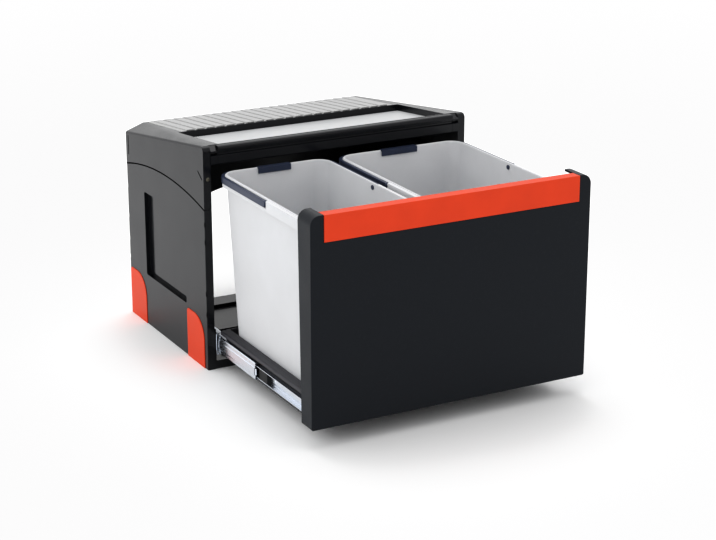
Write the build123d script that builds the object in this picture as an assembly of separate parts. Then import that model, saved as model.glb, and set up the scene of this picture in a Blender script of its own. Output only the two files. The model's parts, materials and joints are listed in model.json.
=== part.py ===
from build123d import *
import os

# Pull-out waste bin unit for a kitchen base cabinet, drawn out to its stop.
# X runs across the unit, Y from the front to the back and Z up. The origin is on the cabinet floor, in the
# middle of the four base screws. All sizes are in millimetres.

# Main sizes
unit_width = 446.0
unit_depth = 304.0
travel = 302.0
closed_gap = 5.5
overrun = 20.0
fit_clearance = 0.3
running_clearance = 0.05
front_y = -unit_depth / 2
rear_y = unit_depth / 2
side_x = unit_width / 2

# Side walls
wall_thickness = 12.0
wall_skin = 2.5
wall_edge_radius = 1.0
groove_depth = 7.0
groove_front = 76.0
groove_corner = 198.0
groove_rear = 234.0
groove_bottom_share = 0.337
groove_width = 11.0
groove_top_share = 0.881
groove_corner_radius = 3.0
wall_rib_thickness = 2.0
wall_rib_setback = 1.5
wall_rib_shares = (0.24, 0.5, 0.86)
edge_notch_height = 7.0
edge_notch_width = 1.8
front_notch_height_shares = (0.34, 0.47, 0.79, 0.9)
rear_notch_height_shares = (0.37, 0.49, 0.64, 0.84)
inner_wall_x = side_x - wall_thickness

# Heights of the lid and of the walls below it
cover_front_height = 349.0
deck_rear_height = 315.0
deck_edge_drop = 11.0
skirt_rear_height = 52.0
arch_rise = 18.0
cover_rear_height = deck_rear_height - deck_edge_drop
arch_end_height = cover_rear_height - skirt_rear_height
arch_crown_height = arch_end_height + arch_rise
groove_bottom = arch_end_height * groove_bottom_share
groove_shelf = groove_bottom + groove_width
groove_top = arch_end_height * groove_top_share

# Corner clips
clip_length = 63.0
clip_height = 79.0
clip_thickness = 3.0
clip_recess = 2.0
clip_large_radius = 36.0
clip_small_radius = 6.0
clip_edge_radius = 0.6
clip_front_inset = 11.0
clip_rear_inset = 2.5
clip_pad_thickness = 5.0
clip_peg_radius = 3.5
clip_peg_heights = (18.0, 48.0)

# Base frame
base_floor = 3.0
base_front_inset = 1.0
base_rear_inset = 22.0
upstand_height = 64.0
upstand_thickness = 2.5
sill_height = 13.0
sill_thickness = 3.0
rear_step_depth = 36.0
rear_step_height = 8.0
base_rib_width = 3.0
base_rib_height = 6.0
base_rib_shares = (0.28, 0.5)
base_screw_span_x = 340.0
base_screw_span_y = 200.0
base_screw_radius = 2.25
screw_boss_radius = 8.0
screw_boss_height = 7.0
upstand_x = inner_wall_x - upstand_thickness

# Rear wall
rear_wall_thickness = 2.5
rear_arch_side_share = 0.325
rear_arch_crown_share = 0.66
rear_wall_top_gap = 8.0
rear_wall_top = cover_rear_height - rear_wall_top_gap
rear_arch_side_height = rear_wall_top * rear_arch_side_share
rear_arch_crown_height = rear_wall_top * rear_arch_crown_share

# Top cover
deck_inset = 30.0
deck_skin = 2.2
bevel_skin = 2.3
cover_edge_radius = 4.0
cover_front_radius = 8.0
seam_gap = 0.7
skirt_top_margin = 4.0
tray_front = 12.0
tray_rear = 160.0
tray_depth = 12.0
tray_side_margin = 18.0
tray_half_width = inner_wall_x - tray_side_margin
tray_wall = 2.5
mat_front = 165.0
mat_rear = 298.0
mat_side_margin = 25.0
mat_half_width = inner_wall_x - mat_side_margin
mat_ledge = 3.0
mat_ledge_depth = 1.1
mat_rib_height = 1.6
mat_rib_pitch = 17.0
mat_rib_width = 13.0
insert_thickness = 2.0
skirt_groove_depth = 1.2
skirt_groove_width = 2.4
catch_groove_length = 18.0
catch_groove_drop = 46.0
catch_groove_height = cover_front_height - catch_groove_drop
catch_groove_tilt = 35.0
catch_groove_inset = 4.0
rear_groove_inset = 11.0
rear_groove_top = cover_rear_height - skirt_top_margin
rear_groove_length = 31.0
rear_groove_bottom = rear_groove_top - rear_groove_length

# Front rail of the cover
rail_end_width = 11.0
rail_half_length = inner_wall_x - rail_end_width
rail_proud = 2.0
rail_depth = 12.0
rail_height = 28.0
rail_skin = 1.8
rail_outline_shares = (
    (1.0, 1.0), (0.92, 1.0), (0.0, 0.76), (0.0, 0.68), (0.2, 0.64), (0.2, 0.55),
    (0.0, 0.5), (0.0, 0.07), (0.15, 0.0), (1.0, 0.0),
)
rail_corner_radius = 0.5
rail_mouth_share = 0.5
rail_drop = 1.5
rail_top = cover_front_height - rail_drop
rail_hook_radius = 3.0
rail_hook_depth_share = 0.28
rail_hook_height_share = 0.62

# Screws
screw_head_radius = 3.2
screw_head_height = 1.6
screw_shank_radius = 2.0
screw_socket_radius = 1.6
screw_socket_depth = 0.9
cover_screw_share = 0.485
cover_screw_inset = 7.0
cover_screw_length = 14.0

# Telescopic slides, each with three members and two ball cages
slide_height = 35.0
slide_thickness = 12.7
slide_center_z = 39.5
slide_sheet = 1.2
slide_bend = 0.9
outer_length = 300.0
outer_front_inset = 1.0
outer_flange = 10.5
ball_radius = 1.4
ball_clearance = 0.05
ball_pitch = 13.5
ball_count = 8
middle_length = 276.0
middle_front_inset = 22.0
middle_web_offset = 2.4
middle_flange_end = 10.9
inner_length = 300.0
inner_front_inset = 1.0
inner_flange_start = 5.0
outer_ball_offset = 6.5
inner_ball_offset = 8.2
cage_length = 110.0
cage_sheet = 0.7
cage_lip = 2.2
outer_cage_offset = 1.45
inner_cage_offset = 3.95
outer_cage_closed_inset = 95.5
inner_cage_closed_inset = 106.5
buffer_length = 26.0
buffer_front_closed = 137.0
buffer_side_clearance = 0.3
stop_tab_length = 3.0
stop_tab_thickness = 1.0
stop_tab_share = 0.75
slide_screw_inset_shares = (0.1, 0.4, 0.9)
slide_screw_shank = 1.9

# Pull-out tray frame
tray_frame_wall = 3.0
tray_frame_bottom = 20.0
tray_frame_height = 44.0
tray_frame_rear_inset = 8.0
tray_frame_front_gap = 4.5
tray_lip = 5.5
tray_rib_width = 3.0
tray_rib_height = 14.0
tray_bin_clearance = 2.5

# Front panel
panel_width = 446.0
panel_bottom = 30.0
panel_top = 335.0
panel_skin = 3.0
panel_depth_top = 38.5
panel_depth_bottom = 31.5
panel_top_radius = 14.0
panel_bottom_radius = 3.0
panel_edge_radius = 1.6
panel_shelf_height = 294.0
panel_rib_height = 8.0
panel_rib_width = 2.5
panel_rib_shares = (0.25, 0.5, 0.75)

# Handle strip
handle_half_width = 203.0
handle_height = 38.0
handle_skin = 2.5
handle_recess = 1.4
handle_lip_depth = 17.0
handle_lip_drop = 9.0
handle_edge_radius = 0.7
handle_boss_radius = 3.0
handle_boss_shares = (-0.9, -0.45, 0.0, 0.45, 0.9)

# Panel brackets
bracket_x = 130.0
bracket_width = 34.0
bracket_sheet = 2.0
bracket_top = 150.0
bracket_foot_bottom = 38.0
bracket_foot_top = 61.0
bracket_screw_shares = (0.25, 0.75)

# Bins
bin_rim_top = 311.5
bin_rear_open_inset = 7.0
bin_length = 296.0
bin_side_gap = 5.0
bin_between_gap = 12.0
left_bin_share = 0.4417
bin_space = 2 * (inner_wall_x - bin_side_gap)
left_bin_outer_x = -bin_space / 2
left_bin_inner_x = left_bin_outer_x + bin_space * left_bin_share
right_bin_inner_x = left_bin_inner_x + bin_between_gap
right_bin_outer_x = bin_space / 2
bin_corner_radius = 28.0
bin_wall = 2.0
bin_floor = 2.5
bin_top_inset = 6.0
bin_base_inset = 19.0
bin_base_radius = 18.0
bin_bottom_fillet = 5.0
bin_rim_radius = 0.7
bin_foot_clearance = 0.3
collar_height = 18.0
collar_skin = 2.0
recess_depth = 4.0
recess_floor = 12.0
bin_lift = 320.0
body_corner_radius = bin_corner_radius - bin_top_inset

# Bin bails
bail_thickness = 5.0
bail_bar_height = 9.5
bail_top_setback = 2.0
bail_pivot_share = 0.545
bail_pin_radius = 2.2
bail_pin_head_radius = 3.4
bail_pin_head_height = 1.2
bail_tab_thickness = 2.4
bail_tab_drop = 9.0
bail_edge_radius = 1.2
bail_swing_clearance = 1.4
left_tab_width = 53.0
right_tab_width = 61.0
tab_notch_clearance = 0.6


def block(x_from, x_to, y_from, y_to, z_from, z_to):
    """A box between two corners."""
    size = (x_to - x_from, y_to - y_from, z_to - z_from)
    middle = ((x_from + x_to) / 2, (y_from + y_to) / 2, (z_from + z_to) / 2)
    return Pos(*middle) * Box(*size)


def across(face, x_from, x_to):
    """A face drawn in Y and Z, run across the unit."""
    return Pos(x_from, 0, 0) * extrude(face, amount=x_to - x_from, dir=(1, 0, 0))


def along(face, y_from, y_to):
    """A face drawn in X and Z, run along the unit."""
    return Pos(0, y_from, 0) * extrude(face, amount=y_to - y_from, dir=(0, 1, 0))


def outline_yz(*points):
    return make_face(Plane.YZ * Polyline(*points, close=True))


def outline_xz(*points):
    return make_face(Polyline(*[(x, 0, z) for x, z in points], close=True))


def rounded(x_from, x_to, y_from, y_to, radius, z):
    """A level rounded rectangle."""
    shape = RectangleRounded(x_to - x_from, y_to - y_from, radius)
    return Pos((x_from + x_to) / 2, (y_from + y_to) / 2, z) * shape


def rod_x(radius, x_from, x_to, y, z):
    rod = Rot(0, 90, 0) * Cylinder(radius, abs(x_to - x_from))
    return Pos((x_from + x_to) / 2, y, z) * rod


def rod_y(radius, y_from, y_to, x, z):
    rod = Rot(90, 0, 0) * Cylinder(radius, abs(y_to - y_from))
    return Pos(x, (y_from + y_to) / 2, z) * rod


def rod_z(radius, z_from, z_to, x, y):
    return Pos(x, y, (z_from + z_to) / 2) * Cylinder(radius, abs(z_to - z_from))


def mirrored(shape):
    return mirror(shape, about=Plane.YZ)


def gathered(shapes):
    """Separate solids that share one node."""
    solids = [solid for shape in shapes for solid in shape.solids()]
    return Compound(children=solids)


def behind(distance):
    """The Y of a place this far behind the housing's front."""
    return front_y + distance


def arched_face(bottom_points, end_height, crown_height):
    """A YZ face closed on top by the gentle arch of the side wall."""
    crown = ThreePointArc((rear_y, end_height), (0, crown_height), (front_y, end_height))
    rest = Polyline((front_y, end_height), *bottom_points, (rear_y, end_height))
    return make_face(Plane.YZ * (rest + crown))


# Side walls
def groove_face(grow=0):
    """The L-shaped grip groove in a side wall."""
    shape = outline_yz(
        (behind(groove_rear), groove_bottom),
        (behind(groove_rear), groove_top),
        (behind(groove_corner), groove_top),
        (behind(groove_corner), groove_shelf),
        (behind(groove_front), groove_shelf),
        (behind(groove_front), groove_bottom),
    )
    shape = fillet(shape.vertices(), groove_corner_radius)
    return offset(shape, amount=grow) if grow else shape


def clip_face(clip_front, grow=0):
    """The outline of a corner clip, with its large radius to the front."""
    middle = (clip_front + clip_length / 2, clip_height / 2)
    shape = Pos(*middle) * Rectangle(clip_length, clip_height)
    front_corner = shape.vertices().group_by(Axis.Y)[-1].sort_by(Axis.X)[0]
    shape = fillet(front_corner, clip_large_radius)
    rear_corner = shape.vertices().group_by(Axis.X)[-1].sort_by(Axis.Y)[-1]
    shape = fillet(rear_corner, clip_small_radius)
    if grow:
        shape = offset(shape, amount=grow)
    return Plane.YZ * shape


clip_fronts = {
    "front": behind(clip_front_inset),
    "rear": rear_y - clip_rear_inset - clip_length,
}


def clip_pegs(clip_front, radius, x_from, x_to):
    y = clip_front + clip_length / 2
    return [rod_x(radius, x_from, x_to, y, z) for z in clip_peg_heights]


def left_side_wall():
    outline = arched_face([(front_y, 0), (rear_y, 0)], arch_end_height, arch_crown_height)
    shell = across(outline, -side_x, -inner_wall_x)
    shell = fillet(shell.edges().group_by(Axis.X)[0], wall_edge_radius)
    pocket = offset(outline, amount=-wall_skin, kind=Kind.INTERSECTION)
    pocket = across(pocket, -side_x + wall_skin, -inner_wall_x + overrun)
    pocket -= across(groove_face(wall_skin), -side_x, -inner_wall_x)
    wall = shell - pocket
    ribs = []
    for share in wall_rib_shares:
        y = front_y + unit_depth * share
        rib = block(-side_x + wall_skin, -inner_wall_x - wall_rib_setback,
                    y, y + wall_rib_thickness, wall_skin, arch_crown_height)
        ribs.append(rib & across(outline, -side_x, -inner_wall_x))
    for rib in ribs:
        wall += rib
    for clip_front in clip_fronts.values():
        pad = across(clip_face(clip_front, wall_skin), -side_x, -side_x + clip_pad_thickness)
        wall += pad & shell
    wall -= across(groove_face(), -side_x - overrun, -side_x + groove_depth)
    for clip_front in clip_fronts.values():
        recess = clip_face(clip_front, fit_clearance)
        wall -= across(recess, -side_x - overrun, -side_x + clip_recess)
        hole_radius = clip_peg_radius + running_clearance
        for hole in clip_pegs(clip_front, hole_radius, -side_x, -inner_wall_x):
            wall -= hole
    for share in front_notch_height_shares:
        z = arch_end_height * share
        wall -= block(-side_x - overrun, -side_x + edge_notch_width,
                      front_y - overrun, front_y + edge_notch_width, z, z + edge_notch_height)
    for share in rear_notch_height_shares:
        z = arch_end_height * share
        wall -= block(-side_x - overrun, -side_x + edge_notch_width,
                      rear_y - edge_notch_width, rear_y + overrun, z, z + edge_notch_height)
    return wall


def left_clip(clip_front):
    face_x = -side_x + clip_recess
    plate = across(clip_face(clip_front), face_x - clip_thickness, face_x)
    outer_edges = plate.edges().group_by(Axis.X)[0]
    plate = fillet(outer_edges, clip_edge_radius)
    for peg in clip_pegs(clip_front, clip_peg_radius, face_x - running_clearance,
                         -upstand_x - fit_clearance):
        plate += peg
    return plate


# Base frame
base_front_y = front_y + base_front_inset
base_rear_y = rear_y - base_rear_inset
base_length = base_rear_y - base_front_y


def base_frame():
    frame = block(-inner_wall_x, inner_wall_x, base_front_y, base_rear_y, 0, base_floor)
    for side in (-1, 1):
        xs = sorted((side * inner_wall_x, side * upstand_x))
        frame += block(*xs, base_front_y, base_rear_y, 0, upstand_height)
    frame += block(-upstand_x, upstand_x, base_front_y, base_front_y + sill_thickness, 0, sill_height)
    frame += block(-upstand_x, upstand_x, base_rear_y - rear_step_depth, base_rear_y, 0,
                   rear_step_height)
    for share in base_rib_shares:
        y = base_front_y + base_length * share
        frame += block(-upstand_x, upstand_x, y, y + base_rib_width, 0, base_rib_height)
    for x in (-base_screw_span_x / 2, base_screw_span_x / 2):
        for y in (-base_screw_span_y / 2, base_screw_span_y / 2):
            frame += rod_z(screw_boss_radius, 0, screw_boss_height, x, y)
            frame -= rod_z(base_screw_radius, -overrun, screw_boss_height + overrun, x, y)
    for clip_front in clip_fronts.values():
        hole_radius = clip_peg_radius + running_clearance
        for hole in clip_pegs(clip_front, hole_radius, -side_x, -upstand_x + fit_clearance):
            frame -= hole + mirrored(hole)
    for y in slide_screw_places(behind(outer_front_inset), outer_length):
        hole = rod_x(slide_screw_shank + running_clearance, -side_x, -upstand_x + fit_clearance,
                     y, slide_center_z)
        frame -= hole + mirrored(hole)
    return frame


def rear_wall():
    """The back of the housing, with its wide arched opening."""
    arch = ThreePointArc((-inner_wall_x, 0, rear_arch_side_height), (0, 0, rear_arch_crown_height),
                         (inner_wall_x, 0, rear_arch_side_height))
    rest = Polyline((inner_wall_x, 0, rear_arch_side_height), (inner_wall_x, 0, rear_wall_top),
                    (-inner_wall_x, 0, rear_wall_top), (-inner_wall_x, 0, rear_arch_side_height))
    return along(make_face(arch + rest), rear_y - rear_wall_thickness, rear_y)


# Top cover
def deck_height(y):
    """The height of the sloping deck at this Y."""
    return cover_front_height + (deck_rear_height - cover_front_height) * (y - front_y) / unit_depth


def edge_height(y):
    """The height of the cover's outer top edge at this Y."""
    return cover_front_height + (cover_rear_height - cover_front_height) * (y - front_y) / unit_depth


def deck_slab(y_from, y_to, above, below, half_width):
    """A slab that follows the deck's slope."""
    face = outline_yz(
        (y_from, deck_height(y_from) - below), (y_to, deck_height(y_to) - below),
        (y_to, deck_height(y_to) + above), (y_from, deck_height(y_from) + above),
    )
    return across(face, -half_width, half_width)


def bevel_cutter(drop):
    """All that lies above the bevel planes at the cover's two sides."""
    front_edge = Vector(-side_x, front_y, cover_front_height - drop)
    rear_edge = Vector(-side_x, rear_y, cover_rear_height - drop)
    rear_inner = Vector(-side_x + deck_inset, rear_y, deck_rear_height - drop)
    normal = (rear_inner - front_edge).cross(rear_edge - front_edge).normalized()
    plane = Plane(origin=front_edge, x_dir=rear_edge - front_edge, z_dir=normal)
    reach = unit_depth * 4
    cutter = plane * Box(reach, reach, unit_depth, align=(Align.CENTER, Align.CENTER, Align.MIN))
    left = cutter & block(-side_x - overrun, 0, front_y - overrun, rear_y + overrun,
                          0, cover_front_height + unit_depth)
    return left + mirrored(left)


def skirt_face(margin, top_line):
    """The skirt above the side wall's arch, as a YZ face set in by a margin."""
    y_front = front_y + margin
    y_rear = rear_y - margin
    end = arch_end_height + seam_gap + margin
    crown = arch_crown_height + seam_gap + margin
    arch = ThreePointArc((y_front, end), (0, crown), (y_rear, end))
    rest = Polyline((y_rear, end), (y_rear, top_line(y_rear)), (y_front, top_line(y_front)),
                    (y_front, end))
    return make_face(Plane.YZ * (arch + rest))


def top_cover():
    profile = skirt_face(0, deck_height)
    outer = across(profile, -side_x, side_x) - bevel_cutter(0)
    side_edges = [e for e in outer.edges()
                  if abs(abs(e.center().X) - side_x) < fit_clearance and e.geom_type == GeomType.LINE
                  and e.length > unit_depth / 2]
    outer = fillet(side_edges, cover_edge_radius)
    front_corner = profile.vertices().sort_by(Axis.Z)[-1]
    corner = profile - fillet(front_corner, cover_front_radius)
    outer -= across(corner, -side_x - overrun, side_x + overrun)
    inner = outline_yz(
        (front_y - overrun, 0), (rear_y - rear_wall_thickness, 0),
        (rear_y - rear_wall_thickness, deck_height(rear_y - rear_wall_thickness) - deck_skin),
        (front_y - overrun, deck_height(front_y - overrun) - deck_skin),
    )
    cover = outer - (across(inner, -inner_wall_x, inner_wall_x) - bevel_cutter(bevel_skin))
    cover -= block(-inner_wall_x, inner_wall_x, rear_y - rear_wall_thickness - overrun,
                   rear_y + overrun, 0, rear_wall_top)
    pocket = across(skirt_face(wall_skin, lambda y: edge_height(y) - skirt_top_margin),
                    -side_x + wall_skin, -inner_wall_x + fit_clearance)
    cover -= pocket + mirrored(pocket)
    y_front = behind(tray_front)
    y_rear = behind(tray_rear)
    cover += deck_slab(y_front - tray_wall, y_rear + tray_wall, 0, tray_depth + deck_skin,
                       tray_half_width + tray_wall)
    cover -= deck_slab(y_front, y_rear, overrun, tray_depth, tray_half_width)
    cover -= deck_slab(behind(mat_front), behind(mat_rear), overrun, mat_ledge_depth,
                       mat_half_width)
    cover -= deck_slab(behind(mat_front) + mat_ledge, behind(mat_rear) - mat_ledge, overrun,
                       overrun, mat_half_width - mat_ledge)
    cover -= block(-rail_half_length, rail_half_length, front_y - overrun, rail_back_y,
                   arch_crown_height, cover_front_height + overrun)
    for side in (-1, 1):
        cover -= block(*sorted((side * rail_half_length, side * inner_wall_x)), front_y - overrun,
                       rail_back_y, rail_top - rail_height, cover_front_height + overrun)
    catch = Pos(0, behind(catch_groove_inset + catch_groove_length / 2), catch_groove_height) * (
        Rot(catch_groove_tilt, 0, 0)
        * Box(skirt_groove_depth * 2, catch_groove_length, skirt_groove_width))
    rear_line = block(-skirt_groove_depth, skirt_groove_depth, rear_y - rear_groove_inset,
                      rear_y - rear_groove_inset + skirt_groove_width, rear_groove_bottom,
                      rear_groove_top)
    for x in (-side_x, side_x):
        cover -= Pos(x, 0, 0) * (catch + rear_line)
    for x, y, z, _ in cover_screw_places():
        cover -= rod_y(screw_shank_radius + running_clearance, y - wall_skin - fit_clearance,
                       y + wall_skin + fit_clearance, x, z)
    return cover


def cover_screw_places():
    """X, Y, Z and the outward sign of each screw in the cover's skirts."""
    places = []
    for x in (-side_x + cover_screw_inset, side_x - cover_screw_inset):
        for y, top, out in ((front_y, cover_front_height, -1), (rear_y, cover_rear_height, 1)):
            z = arch_end_height + (top - arch_end_height) * cover_screw_share
            places.append((x, y, z, out))
    return places


def ribbed_mat():
    """The ribbed plate that closes the rear of the deck."""
    y_front = behind(mat_front) + fit_clearance
    y_rear = behind(mat_rear) - fit_clearance
    half = mat_half_width - fit_clearance
    mat = deck_slab(y_front, y_rear, 0, mat_ledge_depth - running_clearance, half)
    mat += deck_slab(y_front + mat_ledge + fit_clearance, y_rear - mat_ledge - fit_clearance, 0,
                     deck_skin, half - mat_ledge - fit_clearance)
    count = int(2 * half // mat_rib_pitch)
    first = -mat_rib_pitch * (count - 1) / 2
    rib = deck_slab(y_front, y_rear, mat_rib_height, 0, mat_rib_width / 2)
    for index in range(count):
        mat += Pos(first + mat_rib_pitch * index, 0, 0) * rib
    return mat


def storage_insert():
    """The pale plate that lines the sunk shelf at the front of the deck."""
    return deck_slab(behind(tray_front) + fit_clearance, behind(tray_rear) - fit_clearance,
                     insert_thickness - tray_depth, tray_depth, tray_half_width - fit_clearance)


# Front rail of the cover
rail_front_y = front_y - rail_proud
rail_back_y = rail_front_y + rail_depth


def rail_face():
    points = [(rail_front_y + rail_depth * deep, rail_top - rail_height * (1 - high))
              for deep, high in rail_outline_shares]
    outline = outline_yz(*points)
    return fillet(outline.vertices(), rail_corner_radius)


def front_rail():
    outline = rail_face()
    hollow = offset(outline, amount=-rail_skin)
    length = rail_half_length - fit_clearance
    rail = across(outline, -length, length)
    rail -= across(hollow, -rail_half_length - overrun, rail_half_length + overrun)
    mouth_top = rail_top - rail_height * rail_mouth_share
    rail -= block(-rail_half_length, rail_half_length, rail_back_y - rail_skin * 2,
                  rail_back_y + overrun, rail_top - rail_height - overrun, mouth_top)
    return rail


def left_rail_end():
    """The end of the rail, with a hooked channel across it."""
    end = across(rail_face(), -inner_wall_x, -rail_half_length)
    return end - rod_x(rail_hook_radius, -inner_wall_x - overrun, -rail_half_length + overrun,
                       rail_front_y + rail_depth * rail_hook_depth_share,
                       rail_top - rail_height * (1 - rail_hook_height_share))


def cover_screws():
    """Four screws that hold the cover's skirts at the front and the back."""
    screws = []
    for x, y, z, out in cover_screw_places():
        head = rod_y(screw_head_radius, y, y + out * screw_head_height, x, z)
        head -= rod_y(screw_socket_radius, y + out * (screw_head_height - screw_socket_depth),
                      y + out * (screw_head_height + overrun), x, z)
        shank = rod_y(screw_shank_radius, y, y - out * cover_screw_length, x, z)
        screws.append(head + shank)
    return gathered(screws)


# Telescopic slides. The sections are drawn for the left side, outwards from the base frame's upstand.
slide_x = -upstand_x
outer_half = slide_height / 2
outer_ball_z = outer_half - slide_sheet - ball_clearance - ball_radius
middle_half = outer_ball_z - ball_radius - ball_clearance
inner_ball_z = middle_half - slide_sheet - ball_clearance - ball_radius
inner_half = inner_ball_z - ball_radius - ball_clearance


def slide_screw_places(y_start, length):
    return [y_start + length * share for share in slide_screw_inset_shares]


def channel(web_from, web_to, flange_end, half_height, y_from, y_to):
    """A C-shaped member: its web lies between two offsets and its flanges run to a third."""
    z_low = slide_center_z - half_height
    z_high = slide_center_z + half_height
    ends = sorted((web_from, web_to, flange_end))
    body = block(slide_x + ends[0], slide_x + ends[-1], y_from, y_to, z_low, z_high)
    bends = [e for e in body.edges().filter_by(Axis.Y)
             if abs(e.center().X - slide_x - (web_from if flange_end > web_from else web_to))
             < fit_clearance]
    body = fillet(bends, slide_bend)
    hollow_from, hollow_to = ((web_to, flange_end + overrun) if flange_end > web_to
                              else (flange_end - overrun, web_from))
    hollow = block(slide_x + hollow_from, slide_x + hollow_to, y_from - overrun, y_to + overrun,
                   z_low + slide_sheet, z_high - slide_sheet)
    return body - hollow


def left_slide_outer():
    y = behind(outer_front_inset)
    member = channel(0, slide_sheet, outer_flange, outer_half, y, y + outer_length)
    for place in slide_screw_places(y, outer_length):
        member -= rod_x(slide_screw_shank + running_clearance, slide_x - overrun,
                        slide_x + slide_sheet + fit_clearance, place, slide_center_z)
    return member


def left_slide_middle():
    y = behind(middle_front_inset) - travel / 2
    member = channel(middle_web_offset, middle_web_offset + slide_sheet, middle_flange_end,
                     middle_half, y, y + middle_length)
    x = slide_x + middle_web_offset + slide_sheet
    half = middle_half * stop_tab_share
    return member + block(x, x + stop_tab_thickness, y, y + stop_tab_length,
                          slide_center_z - half, slide_center_z + half)


def left_slide_inner():
    y = behind(inner_front_inset) - travel
    member = channel(slide_thickness - slide_sheet, slide_thickness, inner_flange_start,
                     inner_half, y, y + inner_length)
    for place in slide_screw_places(y, inner_length):
        member -= rod_x(slide_screw_shank + running_clearance,
                        slide_x + slide_thickness - slide_sheet - fit_clearance,
                        slide_x + slide_thickness + fit_clearance, place, slide_center_z)
    return member


def left_slide_buffer():
    """The black stop block that sits in the inner member."""
    y = behind(buffer_front_closed) - travel
    half = inner_half - slide_sheet
    return block(slide_x + inner_flange_start, slide_x + slide_thickness - slide_sheet,
                 y, y + buffer_length, slide_center_z - half, slide_center_z + half)


def ball_places(y_start):
    first = y_start + (cage_length - ball_pitch * (ball_count - 1)) / 2
    return [first + ball_pitch * index for index in range(ball_count)]


def ball_cage(web_offset, ball_offset, ball_z, y_start):
    """A thin C-shaped retainer with a pocket for each ball."""
    half = ball_z + cage_sheet / 2
    web = block(slide_x + web_offset, slide_x + web_offset + cage_sheet, y_start,
                y_start + cage_length, slide_center_z - half, slide_center_z + half)
    cage = web
    for side in (-1, 1):
        z = slide_center_z + side * ball_z
        cage += block(slide_x + web_offset, slide_x + ball_offset + cage_lip, y_start,
                      y_start + cage_length, z - cage_sheet / 2, z + cage_sheet / 2)
        for y in ball_places(y_start):
            pocket = rod_z(ball_radius + running_clearance, z - cage_sheet, z + cage_sheet,
                           slide_x + ball_offset, y)
            cage -= pocket
    return cage


def ball_set(ball_offset, ball_z, y_start):
    balls = []
    for side in (-1, 1):
        for y in ball_places(y_start):
            balls.append(Pos(slide_x + ball_offset, y, slide_center_z + side * ball_z)
                         * Sphere(ball_radius))
    return gathered(balls)


outer_cage_y = behind(outer_cage_closed_inset) - travel / 4
inner_cage_y = behind(inner_cage_closed_inset) - travel * 3 / 4


def screw_x(x_head, direction, length, y):
    """A pan-head screw along X, with its head's underside at x_head and its shank running on."""
    head = rod_x(screw_head_radius, x_head, x_head - direction * screw_head_height, y,
                 slide_center_z)
    socket_from = x_head - direction * (screw_head_height - screw_socket_depth)
    head -= rod_x(screw_socket_radius, socket_from, socket_from - direction * overrun, y,
                  slide_center_z)
    return head + rod_x(slide_screw_shank, x_head, x_head + direction * length, y, slide_center_z)


def outer_slide_screws():
    length = upstand_thickness + slide_sheet
    places = slide_screw_places(behind(outer_front_inset), outer_length)
    left = [screw_x(-inner_wall_x, 1, length, y) for y in places]
    return gathered(left + [mirrored(s) for s in left])


def inner_slide_screws():
    length = slide_sheet + tray_frame_wall
    places = slide_screw_places(behind(inner_front_inset) - travel, inner_length)
    x_head = slide_x + slide_thickness - slide_sheet
    left = [screw_x(x_head, 1, length, y) for y in places]
    return gathered(left + [mirrored(s) for s in left])


# Pull-out tray frame
tray_side_x = -(slide_x + slide_thickness)
panel_back_y = front_y - travel - closed_gap
panel_front_y = panel_back_y - panel_depth_top
tray_frame_front_y = panel_back_y - tray_frame_front_gap
tray_frame_rear_y = front_y - tray_frame_rear_inset
tray_frame_top = tray_frame_bottom + tray_frame_height


def tray_frame():
    """The shallow pan that carries the bins between the slides."""
    inner_x = tray_side_x - tray_frame_wall
    inner_front = tray_frame_front_y + tray_frame_wall
    inner_rear = tray_frame_rear_y - tray_frame_wall
    frame = block(-tray_side_x, tray_side_x, tray_frame_front_y, tray_frame_rear_y,
                  tray_frame_bottom, tray_frame_top)
    frame -= block(-inner_x, inner_x, inner_front, inner_rear,
                   tray_frame_bottom + tray_frame_wall, tray_frame_top + overrun)
    for side in (-1, 1):
        xs = sorted((side * inner_x, side * (inner_x - tray_lip + tray_frame_wall)))
        frame += block(*xs, inner_front, inner_rear, tray_frame_top - tray_frame_wall,
                       tray_frame_top)
    gap_x = (left_bin_inner_x + right_bin_inner_x) / 2
    frame += block(gap_x - tray_rib_width / 2, gap_x + tray_rib_width / 2, inner_front, inner_rear,
                   tray_frame_bottom, tray_frame_bottom + tray_rib_height)
    for place in slide_screw_places(behind(inner_front_inset) - travel, inner_length):
        hole = rod_x(slide_screw_shank + running_clearance, -tray_side_x - fit_clearance,
                     -inner_x + fit_clearance, place, slide_center_z)
        frame -= hole + mirrored(hole)
    for x in bracket_screw_places():
        frame -= rod_y(slide_screw_shank + running_clearance, tray_frame_front_y - overrun,
                       inner_front + fit_clearance, x, bracket_screw_z())
    return frame


# Front panel
panel_half = panel_width / 2
panel_inner_y = panel_front_y + panel_skin


def panel_face(inset):
    low = panel_bottom + inset
    high = panel_top - inset
    half = panel_half - inset
    face = Pos(0, (low + high) / 2) * Rectangle(2 * half, high - low)
    top = face.vertices().group_by(Axis.Y)[-1]
    face = fillet(top, panel_top_radius - inset)
    bottom = face.vertices().group_by(Axis.Y)[0]
    face = fillet(bottom, max(panel_bottom_radius - inset, panel_edge_radius))
    return Plane(origin=(0, 0, 0), x_dir=(1, 0, 0), z_dir=(0, -1, 0)) * face


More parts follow.
